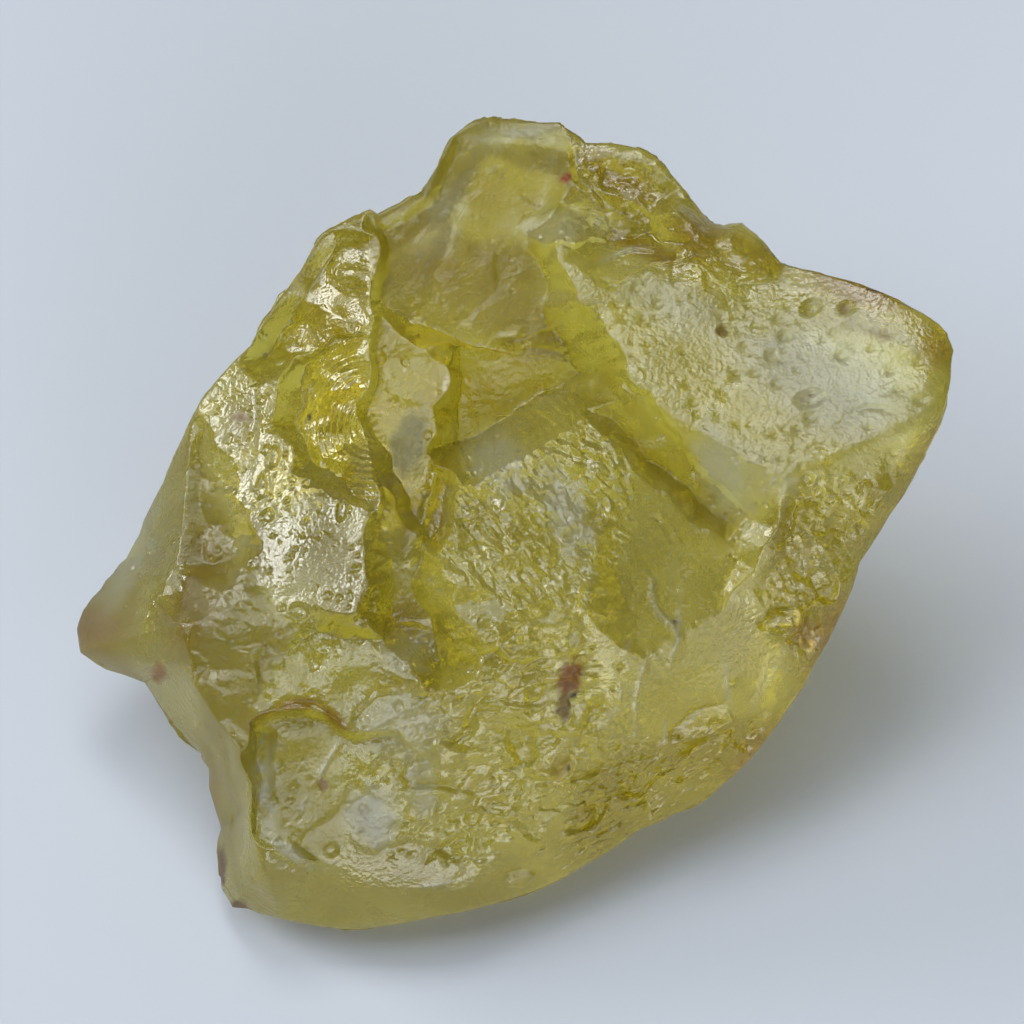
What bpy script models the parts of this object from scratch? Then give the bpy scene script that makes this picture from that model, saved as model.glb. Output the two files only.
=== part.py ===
"""Rough topaz: one broken piece of crystal, lying on a flat cleavage face.

The piece has a broad side that leans back from the table. Its faces and chips are measured on that
side in millimetres: across (to the right), up (along the side) and out (away from the stone).
"""
import math

import bmesh
import bpy
import numpy as np

MM = 0.001

# Stance
LEAN = math.radians(58.0)      # angle of the broad side's outward direction above the table
CORE_HEIGHT = 12.5             # height of the stone's reference point above the table
HEART_OUT = -2.0               # depth of the point that every face is measured round

# Mesh
BALL_SUBDIVISIONS = 8
EDGE_SHARPNESS = 70.0          # higher makes the corners between faces crisper
TRIANGLES = 9500
CREASE = 0.22                  # how far, in height, a flake's edges are rounded
TABLE_TRIM = 0.35              # what the flat cleavage face takes off the lowest points
CUTTER_SIZE = 80.0
SMOOTH_ANGLE = math.radians(24.0)

# The stone's outline seen square on to the broad side: across, up
OUTLINE = (
    (-1.35, 20.3), (0.5, 20.2), (2.5, 20.15), (3.8, 19.2), (6.5, 18.6), (7.25, 18.25),
    (8.15, 17.3), (9.0, 16.25), (9.9, 15.05), (10.6, 14.9), (11.5, 15.0), (12.6, 14.2),
    (13.5, 13.1), (14.5, 12.75), (16.25, 12.25), (18.5, 11.45), (20.4, 10.45), (21.55, 9.45),
    (21.8, 8.75), (21.5, 6.35), (21.2, 5.15), (20.2, 3.15), (18.75, 0.5), (17.35, -1.85),
    (16.3, -4.5), (15.15, -6.85), (14.0, -8.8), (12.9, -10.5), (11.7, -12.05), (9.65, -13.65),
    (6.5, -15.2), (4.5, -16.65), (0.5, -18.4), (-3.5, -19.5), (-8.0, -20.1), (-12.6, -19.45),
    (-13.15, -19.2), (-13.9, -19.15), (-14.4, -18.25), (-14.65, -16.15), (-14.5, -15.25),
    (-15.15, -13.25), (-15.15, -12.25), (-15.5, -11.5), (-16.75, -10.15), (-17.9, -8.65),
    (-18.4, -7.9), (-20.9, -7.0), (-21.7, -6.45), (-21.9, -5.25), (-21.65, -4.3),
    (-20.75, -3.25), (-19.4, -1.65), (-18.75, -0.5), (-17.5, 2.15), (-16.35, 4.65),
    (-15.5, 6.25), (-13.0, 9.0), (-11.85, 10.7), (-10.5, 12.75), (-9.35, 14.5), (-7.6, 15.6),
    (-7.0, 15.85), (-6.65, 15.6), (-5.5, 16.15), (-4.25, 17.0), (-3.65, 17.95),
    (-3.35, 18.75), (-3.0, 19.35), (-2.1, 20.05),
)

# Faces of the broad side: a point on each (across, up, out), then its rise per millimetre
# to the right and per millimetre upwards
BROAD_FACES = {
    "left flank": (-21.85, -5.75, -5.2, 1.35, -0.29),
    "pitted left": (-16.0, 5.25, -0.35, 0.50, -0.36),
    "pitted top": (0.0, 0.0, 8.6, -0.03, -0.42),
    "smooth right": (11.25, -2.25, 6.2, -0.433, 0.447),
    "crumpled foot": (-2.0, -8.0, 7.0, -0.10, 0.40),
    "front band": (-8.0, -20.1, 1.2, -0.03, 1.0),
    "lower right band": (9.5, -13.75, -0.3, -0.58, 0.815),
    "right band": (18.5, -0.25, 5.3, -0.80, 0.40),
    "left foot": (-14.9, -14.5, -0.9, 2.2, 0.9),
}

# Faces of the back and underside, each through three points of the table frame (x, y, height)
UNDER_FACES = {
    "front undercut": ((-8.0, -18.1, 3.5), (-3.5, -17.7, 4.0), (-3.0, -14.5, 0.0)),
    "front right undercut": ((4.5, -14.6, 4.5), (9.65, -12.0, 6.0), (5.5, -10.5, 0.0)),
    "right undercut": ((13.5, -9.2, 9.0), (16.3, -5.6, 13.0), (9.5, -5.0, 0.0)),
    "right wall": ((18.75, -2.2, 17.0), (21.2, 1.4, 20.0), (10.0, 2.5, 0.0)),
    "back right wall": ((21.5, 5.8, 21.0), (8.0, 14.9, 22.6), (9.0, 8.0, 0.0)),
    "back wall": ((7.0, 15.4, 22.7), (2.5, 17.1, 23.2), (0.5, 11.5, 0.0)),
    "back left wall": ((-1.5, 17.3, 23.0), (-6.6, 13.5, 20.5), (-7.0, 10.0, 0.0)),
    "left wall": ((-10.5, 11.0, 19.0), (-19.75, 0.4, 8.0), (-14.0, 3.5, 0.0)),
    "tip undercut": ((-21.85, -1.5, 4.0), (-14.5, -4.0, 0.0), (-14.5, 2.0, 0.0)),
    "left undercut": ((-21.85, -1.5, 4.0), (-14.8, -12.9, 2.5), (-13.5, -8.5, 0.0)),
    "corner undercut": ((-14.8, -12.9, 2.5), (-13.6, -15.9, 1.5), (-13.0, -13.0, 0.0)),
    "back foot bevel": ((4.0, 13.8, 11.0), (-6.0, 12.3, 10.0), (-1.0, 7.0, 0.0)),
    "right foot bevel": ((17.5, 6.0, 13.0), (12.0, 11.2, 13.0), (8.0, 4.5, 0.0)),
    "cleavage": ((0.0, 0.0, 0.0), (1.0, 0.0, 0.0), (0.0, 1.0, 0.0)),
}

# Conchoidal hollows of the back and underside: centre in the table frame and radius
SCOOPS = (
    (2.0, 26.0, 10.0, 13.5),
    (-17.5, 17.0, 6.0, 13.0),
    (24.0, 12.0, 7.0, 13.0),
    (23.5, -13.5, 3.5, 12.5),
    (-25.0, 2.0, 1.0, 9.0),
)

# Flakes broken off the broad side: the outline of each flake's floor (across, up), a point of the
# floor with its rise to the right and upwards, and how steeply its wall climbs
CHIPS = {
    "middle": (
        ((1.75, 11.35), (3.75, 8.75), (6.75, 6.35), (9.0, 3.25), (11.1, 0.75), (11.4, -1.85),
         (9.5, -5.75), (4.5, -8.75), (2.5, -11.75), (-3.0, -9.75), (-3.5, -6.75), (-5.7, -4.75),
         (-6.1, -1.75), (-6.35, 2.25), (-7.1, 6.25), (-6.9, 11.25), (-6.6, 15.55),
         (-3.5, 18.75), (2.5, 20.15), (3.25, 16.25), (1.25, 14.75)),
        (0.0, 0.0, 6.2, 0.106, -0.317), 2.5),
    "upper slope": (
        ((-6.6, 15.6), (-3.5, 18.75), (-1.5, 20.75), (2.5, 20.65), (3.25, 16.75), (1.0, 14.5),
         (1.75, 11.25), (3.25, 7.75), (-2.75, 9.0), (-6.25, 11.25)),
        (-0.5, 18.0, 0.0, 0.02, -0.03), 2.2),
    "recess": (
        ((-2.75, 8.75), (2.5, 9.75), (3.25, 7.5), (1.5, 6.5), (-2.5, 4.0)),
        (0.0, 6.75, 0.2, -0.2, 0.08), 2.5),
    "spear": (
        ((-6.25, 11.25), (-3.5, 10.75), (-3.0, 7.25), (-4.0, -0.75), (-4.9, 1.25),
         (-6.25, 3.75), (-7.1, 6.25)),
        (-5.25, 6.25, 2.3, 0.25, -0.4), 2.5),
    "spear foot": (
        ((-6.35, 2.25), (-4.25, -1.0), (-4.75, -2.5), (-3.5, -6.5), (-5.7, -4.75), (-6.1, -1.75)),
        (-5.25, -1.75, 4.0, -0.3, 0.0), 2.0),
    "smooth cheek": (
        ((4.5, 6.75), (6.75, 6.25), (9.0, 3.25), (11.1, 0.75), (11.4, -1.85), (9.5, -5.75),
         (6.5, -6.25), (5.0, -1.75), (4.5, 2.75)),
        (6.0, 2.0, 6.0, -0.12, -0.05), 2.5),
    "left brow": (
        ((-12.4, -6.5), (-9.5, -5.5), (-5.75, -5.5), (-3.75, -8.5), (-6.0, -10.5),
         (-8.25, -10.6), (-10.5, -9.7), (-12.6, -10.15)),
        (-8.0, -7.75, 5.9, 0.3, -0.14), 1.2),
    "step below the top": (
        ((1.75, 11.25), (3.5, 8.75), (6.5, 6.4), (9.0, 3.25), (11.1, 0.7), (10.6, -0.2),
         (8.4, 2.0), (5.8, 4.6), (3.0, 6.9), (1.6, 9.2)),
        (4.5, 7.25, 4.2, 0.5, 0.4), 2.5),
    "left foot pane": (
        ((-12.6, -10.15), (-10.5, -9.35), (-8.25, -10.25), (-5.5, -10.75), (-3.5, -11.75),
         (-4.0, -13.75), (-6.0, -16.25), (-10.5, -16.75), (-12.4, -15.0)),
        (-9.0, -13.25, 4.9, 0.3, -0.12), 2.5),
    "left shade": (
        ((-15.5, -1.75), (-12.4, -3.25), (-9.5, -4.35), (-10.5, -5.75), (-12.4, -8.25),
         (-12.4, -9.5), (-15.25, -10.25)),
        (-13.25, -6.25, 4.6, 0.5, 0.1), 0.7),
    "left shoulder": (
        ((-15.9, 5.5), (-13.75, 6.25), (-13.25, 3.75), (-14.75, 2.75), (-13.0, 1.25),
         (-12.75, -1.0), (-15.25, -1.75)),
        (-14.25, 2.25, 1.2, 0.9, -0.1), 1.0),
    "rippled hollow": (
        ((-12.4, 9.65), (-9.35, 14.5), (-7.0, 15.75), (-6.5, 11.25), (-7.1, 6.25), (-6.35, 2.25),
         (-7.0, 1.0), (-8.5, 2.25), (-10.0, 3.25), (-10.35, 6.25), (-10.5, 8.0)),
        (-8.5, 9.75, 1.1, 0.35, -0.1), 1.0),
    "top edge": (
        ((3.25, 19.75), (9.0, 16.25), (9.5, 15.0), (6.5, 14.5), (4.5, 14.25), (3.5, 16.25)),
        (6.5, 16.75, 0.9, 0.0, -0.1), 1.0),
}

# Crumpled areas: the outline of each, how long and how wide its flakes are, the way they run
# (degrees from across), how steeply they tilt, how far they differ in height, and a seed
CRUMPLES = {
    "centre": (
        ((-2.5, 3.75), (0.0, 5.5), (3.0, 7.25), (5.0, 6.0), (5.25, 2.5), (6.0, -2.0), (4.5, -5.5),
         (1.0, -6.0), (-2.0, -3.5), (-4.0, -1.5)),
        2.6, 1.1, -55.0, 0.22, 0.10, 3.0),
    "foot": (
        ((-5.5, -5.5), (-1.0, -4.5), (4.0, -6.0), (5.0, -11.0), (8.0, -12.5), (4.5, -15.5),
         (-1.5, -17.0), (-6.0, -16.0), (-4.5, -10.5)),
        2.4, 1.3, 25.0, 0.28, 0.12, 8.0),
    "lower right": (
        ((5.0, -11.25), (9.0, -10.5), (13.0, -9.3), (12.0, -11.5), (9.5, -13.5), (5.0, -16.2),
         (2.0, -17.0)),
        1.8, 1.2, 30.0, 0.25, 0.15, 5.0),
    "right": (
        ((13.0, 1.0), (14.5, 2.75), (18.0, 2.4), (21.0, 5.0), (20.0, 2.0), (17.0, -3.0),
         (14.5, -7.5), (12.5, -4.5)),
        2.2, 1.4, -60.0, 0.25, 0.15, 9.0),
    "left shade": (
        ((-15.5, -1.75), (-12.4, -3.25), (-9.5, -4.35), (-12.4, -8.25), (-15.25, -9.0)),
        2.4, 1.0, -25.0, 0.22, 0.10, 2.0),
    "upper right": (
        ((3.5, 19.0), (7.5, 17.5), (9.5, 15.2), (14.0, 12.9), (11.0, 12.0), (7.0, 13.0),
         (3.0, 14.5)),
        2.0, 1.0, -20.0, 0.25, 0.12, 6.0),
}
CRUMPLE_EDGE = 1.2             # width over which a crumpled area fades out
SWELL = ((7.0, 0.16, 1), (2.6, 0.05, 2))    # wave size, height and seed of the worn surface

# Cleavage steps of the back and underside: their spacing in height, how deep each one cuts in,
# how far the step lines wander and over how much of the spacing a step drops
STEP_SPACING = 4.3
STEP_DEPTH = 0.55
STEP_WANDER = 1.1
STEP_SHARE = 0.12

# Knobs left standing on the broad side, in the same terms as the chips
KNOBS = {
    "brown knob": (
        ((9.0, 15.0), (11.75, 14.85), (13.1, 13.5), (13.5, 13.0), (11.25, 11.75), (9.0, 13.15)),
        (11.25, 13.75, 3.2, 0.0, 0.0), 1.2),
}


def empty_scene():
    for thing in list(bpy.data.objects):
        bpy.data.objects.remove(thing, do_unlink=True)


def collection(name):
    found = bpy.data.collections.new(name)
    bpy.context.scene.collection.children.link(found)
    return found


def to_table(points):
    """Points of the broad side's frame, in millimetres, turned into the table frame."""
    across, up, out = points.T
    back = up * math.sin(LEAN) - out * math.cos(LEAN)
    height = up * math.cos(LEAN) + out * math.sin(LEAN) + CORE_HEIGHT
    return np.stack([across, back, height], axis=1)


def to_broad_side(points):
    """Points of the table frame turned into the broad side's frame."""
    across, back, height = np.asarray(points, float).T
    height = height - CORE_HEIGHT
    up = back * math.sin(LEAN) + height * math.cos(LEAN)
    out = height * math.sin(LEAN) - back * math.cos(LEAN)
    return np.stack([across, up, out], axis=1)


def face_planes():
    """Unit normals and distances, measured from the heart, of every face of the stone."""
    heart = np.array([0.0, 0.0, HEART_OUT])
    normals = []
    distances = []
    for across, up, out, rise_right, rise_up in BROAD_FACES.values():
        normal = np.array([-rise_right, -rise_up, 1.0])
        normal /= np.linalg.norm(normal)
        normals.append(normal)
        distances.append(normal @ (np.array([across, up, out]) - heart))
    for corners in UNDER_FACES.values():
        first, second, third = to_broad_side(corners)
        normal = np.cross(second - first, third - first)
        normal /= np.linalg.norm(normal)
        distance = normal @ (first - heart)
        if distance < 0:
            normal = -normal
            distance = -distance
        normals.append(normal)
        distances.append(distance)
    return np.array(normals), np.array(distances)


def reach(directions, normals, distances):
    """How far the block of faces reaches from the heart along each direction."""
    nearness = np.maximum(directions @ normals.T, 0.0) / distances
    peak = nearness.max(axis=1)
    rounded = ((nearness / peak[:, None]) ** EDGE_SHARPNESS).sum(axis=1) ** (1.0 / EDGE_SHARPNESS)
    return 1.0 / (peak * rounded)


def scooped(directions, lengths):
    """The lengths, shortened where a direction runs into a conchoidal hollow."""
    heart = np.array([0.0, 0.0, HEART_OUT])
    for *centre, radius in SCOOPS:
        offset = to_broad_side([centre])[0] - heart
        along = directions @ offset
        gap = along ** 2 - offset @ offset + radius ** 2
        entry = along - np.sqrt(np.maximum(gap, 0.0))
        hit = (gap > 0) & (entry > 0)
        lengths = np.where(hit, np.minimum(lengths, entry), lengths)
    return lengths


def outline_reach(angles):
    """Distance from the middle to the outline, at each angle round the broad side."""
    corners = np.array(OUTLINE)
    corner_angles = np.arctan2(corners[:, 1], corners[:, 0])
    order = np.argsort(corner_angles)
    return np.interp(angles, corner_angles[order], np.hypot(*corners[order].T), period=2 * math.pi)


def block_rim(normals, distances):
    """The block's own outline: angles, how far it reaches there, and at what slope."""
    angles = np.linspace(-math.pi, math.pi, 361)[:-1]
    slopes = np.radians(np.linspace(-60.0, 60.0, 241))
    turn, slope = np.meshgrid(angles, slopes, indexing="ij")
    level = np.cos(slope)
    directions = np.stack([np.cos(turn) * level, np.sin(turn) * level, np.sin(slope)], axis=-1)
    flat = directions.reshape(-1, 3)
    lengths = scooped(flat, reach(flat, normals, distances)).reshape(turn.shape)
    spread = lengths * level
    widest = spread.argmax(axis=1)
    rows = np.arange(len(angles))
    return angles, spread[rows, widest], slopes[widest]


def to_polygon(across, up, corners):
    """Distance to a polygon's edge, negative inside it."""
    nearest = np.full(across.shape, np.inf)
    inside = np.zeros(across.shape, bool)
    for (ax, ay), (bx, by) in zip(corners, corners[1:] + corners[:1]):
        dx = bx - ax
        dy = by - ay
        share = np.clip(((across - ax) * dx + (up - ay) * dy) / (dx * dx + dy * dy), 0.0, 1.0)
        nearest = np.minimum(nearest, np.hypot(across - ax - share * dx, up - ay - share * dy))
        if dy != 0.0:
            crosses = ((ay > up) != (by > up)) & (across < ax + dx * (up - ay) / dy)
            inside ^= crosses
    return np.where(inside, -nearest, nearest)


def floor_height(across, up, floor):
    at_across, at_up, out, rise_right, rise_up = floor
    return out + rise_right * (across - at_across) + rise_up * (up - at_up)


def lower_of(first, second):
    """The lower of two heights, with the corner where they cross rounded off."""
    share = np.clip(0.5 + 0.5 * (second - first) / CREASE, 0.0, 1.0)
    return second + (first - second) * share - CREASE * share * (1.0 - share)


def scatter(column, row, seed):
    """A number from 0 to 1 that looks random but always is the same for a cell."""
    wave = np.sin(column * 127.1 + row * 311.7 + seed * 74.7) * 43758.5453
    return wave - np.floor(wave)


def flakes(across, up, length, width, run, tilt, step, seed):
    """Height of a field of flat flakes, each tilted its own way."""
    turn = math.radians(run)
    along = (across * math.cos(turn) + up * math.sin(turn)) / length
    beside = (up * math.cos(turn) - across * math.sin(turn)) / width
    nearest = np.full(across.shape, np.inf)
    height = np.zeros(across.shape)
    for near_column in (-1, 0, 1):
        for near_row in (-1, 0, 1):
            column = np.floor(along) + near_column
            row = np.floor(beside) + near_row
            off_along = along - column - scatter(column, row, seed)
            off_beside = beside - row - scatter(column, row, seed + 1.0)
            apart = off_along ** 2 + off_beside ** 2
            lean_along = tilt * (2.0 * scatter(column, row, seed + 2.0) - 1.0) * length
            lean_beside = tilt * (2.0 * scatter(column, row, seed + 3.0) - 1.0) * width
            level = step * (2.0 * scatter(column, row, seed + 4.0) - 1.0)
            flake = level + lean_along * off_along + lean_beside * off_beside
            height = np.where(apart < nearest, flake, height)
            nearest = np.minimum(nearest, apart)
    return height


def swell(points, size, seed):
    """A smooth, irregular wave through space, from about -1 to 1."""
    rng = np.random.default_rng(seed)
    ways = rng.normal(size=(16, 3))
    ways *= (2.0 * math.pi / size) / np.linalg.norm(ways, axis=1)[:, None]
    ways *= rng.uniform(0.6, 1.6, 16)[:, None]
    starts = rng.uniform(0.0, 2.0 * math.pi, 16)
    return np.sin(points @ ways.T + starts).sum(axis=1) / 4.0


def chipped(across, up, out):
    """The broad side's height after its flakes are broken off and its knobs left standing."""
    for corners, floor, wall in CHIPS.values():
        beyond = np.maximum(to_polygon(across, up, corners), 0.0)
        out = lower_of(out, floor_height(across, up, floor) + wall * beyond)
    for corners, floor, wall in KNOBS.values():
        beyond = np.maximum(to_polygon(across, up, corners), 0.0)
        out = -lower_of(-out, wall * beyond - floor_height(across, up, floor))
    for corners, length, width, run, tilt, step, seed in CRUMPLES.values():
        share = np.clip(0.5 - to_polygon(across, up, corners) / CRUMPLE_EDGE, 0.0, 1.0)
        out = out + share * flakes(across, up, length, width, run, tilt, step, seed)
    return out


def cleavage_steps(points):
    """How far the back is cut in at each point: ledges that run level with the cleavage."""
    wander = STEP_WANDER * swell(points, 15.0, 4)
    place = (to_table(points)[:, 2] + wander) / STEP_SPACING
    part_way = place - np.floor(place)
    ramp = part_way / (1.0 - STEP_SHARE)
    drop = (1.0 - part_way) / STEP_SHARE
    return STEP_DEPTH * np.minimum(ramp, drop) * (0.6 + 0.4 * swell(points, 9.0, 5))


def stone_points(directions):
    """Where each direction of a ball meets the stone's surface, in the table frame."""
    normals, distances = face_planes()
    lengths = scooped(directions, reach(directions, normals, distances))
    across, up, out = (directions * lengths[:, None]).T
    turn = np.arctan2(up, across)
    slope = np.arcsin(directions[:, 2])
    rim_angles, rim_reach, rim_slopes = block_rim(normals, distances)
    block = np.interp(turn, rim_angles, rim_reach, period=2 * math.pi)
    rim_slope = np.interp(turn, rim_angles, rim_slopes, period=2 * math.pi)
    wanted = outline_reach(turn)
    share = np.clip((np.hypot(across, up) / block - 0.5) / 0.5, 0.0, 1.0)
    stretch = 1.0 + (wanted / block - 1.0) * share ** 1.5
    across = across * stretch
    up = up * stretch
    out = out + HEART_OUT
    room = np.clip((1.0 - np.hypot(across, up) / wanted) / 0.06, 0.0, 1.0)
    broken = chipped(across, up, out)
    broad = slope > rim_slope
    out = np.where(broad, out + (broken - out) * room, out)
    points = np.stack([across, up, out], axis=1)
    stepped = np.where(broad, 0.0, cleavage_steps(points) * room)
    points = points - directions * stepped[:, None]
    worn = sum(height * swell(points, size, seed) for size, height, seed in SWELL)
    points = points + directions * worn[:, None]
    return to_table(points)


def stone_mesh(name):
    shape = bmesh.new()
    bmesh.ops.create_icosphere(shape, subdivisions=BALL_SUBDIVISIONS, radius=1.0)
    directions = np.array([vert.co for vert in shape.verts])
    directions /= np.linalg.norm(directions, axis=1)[:, None]
    points = stone_points(directions)
    points[:, 2] -= TABLE_TRIM
    for vert, point in zip(shape.verts, points * MM):
        vert.co = point
    mesh = bpy.data.meshes.new(name)
    shape.to_mesh(mesh)
    shape.free()
    return mesh


def table_cutter(cutters):
    """A slab below the table plane, which cleaves the stone's foot flat."""
    bpy.ops.mesh.primitive_cube_add(size=CUTTER_SIZE * MM)
    slab = bpy.context.object
    slab.name = "table_cutter"
    slab.location.z = -CUTTER_SIZE * MM / 2
    slab.hide_render = True
    slab.display_type = "WIRE"
    for owner in list(slab.users_collection):
        owner.objects.unlink(slab)
    cutters.objects.link(slab)
    return slab


def topaz_material():
    material = bpy.data.materials.new("olive_topaz")
    material.use_nodes = True
    shader = material.node_tree.nodes["Principled BSDF"]
    shader.inputs["Base Color"].default_value = (0.27, 0.23, 0.045, 1.0)
    shader.inputs["Roughness"].default_value = 0.12
    shader.inputs["Metallic"].default_value = 0.0
    shader.inputs["IOR"].default_value = 1.62
    shader.inputs["Transmission Weight"].default_value = 0.4
    return material


def main():
    empty_scene()
    parts = collection("rough_topaz")
    cutters = collection("cutters")
    stone = bpy.data.objects.new("topaz", stone_mesh("topaz"))
    parts.objects.link(stone)
    stone.data.materials.append(topaz_material())
    thin = stone.modifiers.new("thin_out", "DECIMATE")
    thin.ratio = TRIANGLES / len(stone.data.polygons)
    cleave = stone.modifiers.new("cleave_foot", "BOOLEAN")
    cleave.operation = "DIFFERENCE"
    cleave.solver = "EXACT"
    cleave.object = table_cutter(cutters)
    stone.data.shade_smooth()
    stone.data.set_sharp_from_angle(angle=SMOOTH_ANGLE)


main()
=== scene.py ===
import math

import bmesh
import bpy
import numpy as np
from mathutils import Matrix, Vector


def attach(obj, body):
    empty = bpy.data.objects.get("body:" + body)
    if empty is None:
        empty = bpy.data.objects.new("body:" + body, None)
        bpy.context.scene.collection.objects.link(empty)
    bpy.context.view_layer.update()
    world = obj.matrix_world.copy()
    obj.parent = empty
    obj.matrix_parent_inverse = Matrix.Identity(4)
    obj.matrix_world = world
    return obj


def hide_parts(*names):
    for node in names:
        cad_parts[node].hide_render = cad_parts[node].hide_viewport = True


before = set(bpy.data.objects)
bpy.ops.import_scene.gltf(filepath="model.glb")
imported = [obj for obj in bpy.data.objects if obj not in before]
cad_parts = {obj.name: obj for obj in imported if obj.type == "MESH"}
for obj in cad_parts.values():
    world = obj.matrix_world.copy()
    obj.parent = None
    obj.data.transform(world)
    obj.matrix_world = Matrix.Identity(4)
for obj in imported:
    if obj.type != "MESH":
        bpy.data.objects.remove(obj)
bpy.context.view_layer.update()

# Rough topaz: one broken piece of crystal, lying on a flat cleavage face. Its broad side leans back
# from the table. Faces, chips and marks are measured on that side in millimetres: across (to the
# right), up (along the side) and out (away from the stone).
MM = 0.001

# Stance
LEAN = math.radians(58.0)      # angle of the broad side's outward direction above the table
CORE_HEIGHT = 12.15            # height of the stone's reference point above the table
HEART_OUT = -2.0               # depth of the point that every face is measured round

# Mesh
BALL_SUBDIVISIONS = 9
EDGE_SHARPNESS = 90.0          # higher makes the corners between faces crisper
BACK_TRIANGLES = 36000         # left on the back by the first thinning
BROAD_TRIANGLES = 205000       # left on the broad side by the second
TRIANGLES = 197000             # left on the whole stone by the third, which spares the details
CREASE = 0.15                  # how far, in height, a flake's edges are rounded

# The stone's outline seen square on to the broad side: across, up
OUTLINE = (
    (-1.35, 20.3), (0.5, 20.2), (2.5, 20.15), (3.8, 19.2), (6.5, 18.6), (7.25, 18.25),
    (8.15, 17.3), (9.0, 16.25), (9.9, 15.05), (10.6, 14.9), (11.5, 15.0), (12.6, 14.2),
    (13.5, 13.1), (14.5, 12.75), (16.25, 12.25), (18.5, 11.45), (20.4, 10.45), (21.55, 9.45),
    (21.8, 8.75), (21.5, 6.35), (21.2, 5.15), (20.2, 3.15), (18.75, 0.5), (17.35, -1.85),
    (16.3, -4.5), (15.15, -6.85), (14.0, -8.8), (12.9, -10.5), (11.7, -12.05), (9.65, -13.65),
    (6.5, -15.2), (4.5, -16.65), (0.5, -18.4), (-3.5, -19.5), (-8.0, -20.1), (-12.6, -19.45),
    (-13.15, -19.2), (-13.9, -19.15), (-14.4, -18.25), (-14.65, -16.15), (-14.5, -15.25),
    (-15.15, -13.25), (-15.15, -12.25), (-15.5, -11.5), (-16.75, -10.15), (-17.9, -8.65),
    (-18.4, -7.9), (-20.9, -7.0), (-21.7, -6.45), (-21.9, -5.25), (-21.65, -4.3),
    (-20.75, -3.25), (-19.4, -1.65), (-18.75, -0.5), (-17.5, 2.15), (-16.35, 4.65),
    (-15.5, 6.25), (-13.0, 9.0), (-11.85, 10.7), (-10.5, 12.75), (-9.35, 14.5), (-7.6, 15.6),
    (-7.0, 15.85), (-6.65, 15.6), (-5.5, 16.15), (-4.25, 17.0), (-3.65, 17.95),
    (-3.35, 18.75), (-3.0, 19.35), (-2.1, 20.05),
)

# How the block of faces is drawn out to the outline: from which share of the way out, how
# suddenly, and over which share at the rim the chips fade out
STRETCH_START = 0.5
STRETCH_CURVE = 1.5
RIM_SHARE = 0.06

# How finely the block's own outline is searched for: places round it, slopes at each place and the
# steepest slope in degrees
RIM_ANGLES = 360
RIM_SLOPES = 240
STEEPEST_RIM = 60.0

# Faces of the broad side: a point on each (across, up, out), then its rise per millimetre
# to the right and per millimetre upwards
BROAD_FACES = {
    "left flank": (-21.85, -5.75, -5.2, 1.35, -0.29),
    "pitted left": (-16.0, 5.25, -0.35, 0.50, -0.36),
    "pitted top": (0.0, 0.0, 8.6, -0.03, -0.42),
    "smooth right": (11.25, -2.25, 6.2, -0.433, 0.447),
    "crumpled foot": (-2.0, -8.0, 7.0, -0.10, 0.40),
    "front band": (-8.0, -20.1, 1.2, -0.03, 1.0),
    "lower right band": (9.5, -13.75, -0.3, -0.58, 0.815),
    "right band": (18.5, -0.25, 5.3, -0.80, 0.40),
    "left foot": (-14.9, -14.5, -0.9, 2.2, 0.9),
}

# Faces of the back and underside, each through three points of the table frame (x, y, height)
UNDER_FACES = {
    "front undercut": ((-8.0, -18.1, 3.5), (-3.5, -17.7, 4.0), (-3.0, -14.5, 0.0)),
    "front right undercut": ((4.5, -14.6, 4.5), (9.65, -12.0, 6.0), (5.5, -10.5, 0.0)),
    "right undercut": ((13.5, -9.2, 9.0), (16.3, -5.6, 13.0), (9.5, -5.0, 0.0)),
    "right wall": ((18.75, -2.2, 17.0), (21.2, 1.4, 20.0), (10.0, 2.5, 0.0)),
    "back right wall": ((21.5, 5.8, 21.0), (8.0, 14.9, 22.6), (9.0, 8.0, 0.0)),
    "back wall": ((7.0, 15.4, 22.7), (2.5, 17.1, 23.2), (0.5, 11.5, 0.0)),
    "back left wall": ((-1.5, 17.3, 23.0), (-6.6, 13.5, 20.5), (-7.0, 10.0, 0.0)),
    "left wall": ((-10.5, 11.0, 19.0), (-19.75, 0.4, 8.0), (-14.0, 3.5, 0.0)),
    "tip undercut": ((-21.85, -1.5, 4.0), (-14.5, -4.0, 0.0), (-14.5, 2.0, 0.0)),
    "left undercut": ((-21.85, -1.5, 4.0), (-14.8, -12.9, 2.5), (-13.5, -8.5, 0.0)),
    "corner undercut": ((-14.8, -12.9, 2.5), (-13.6, -15.9, 1.5), (-13.0, -13.0, 0.0)),
    "back foot bevel": ((4.0, 13.8, 11.0), (-6.0, 12.3, 10.0), (-1.0, 7.0, 0.0)),
    "right foot bevel": ((17.5, 6.0, 13.0), (12.0, 11.2, 13.0), (8.0, 4.5, 0.0)),
    "cleavage": ((0.0, 0.0, 0.0), (1.0, 0.0, 0.0), (0.0, 1.0, 0.0)),
}

# Conchoidal hollows of the back and underside: centre in the table frame and radius
SCOOPS = (
    (2.0, 26.0, 10.0, 13.5),
    (-17.5, 17.0, 6.0, 13.0),
    (24.0, 12.0, 7.0, 13.0),
    (23.5, -13.5, 3.5, 12.5),
    (-25.0, 2.0, 1.0, 9.0),
)

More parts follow.
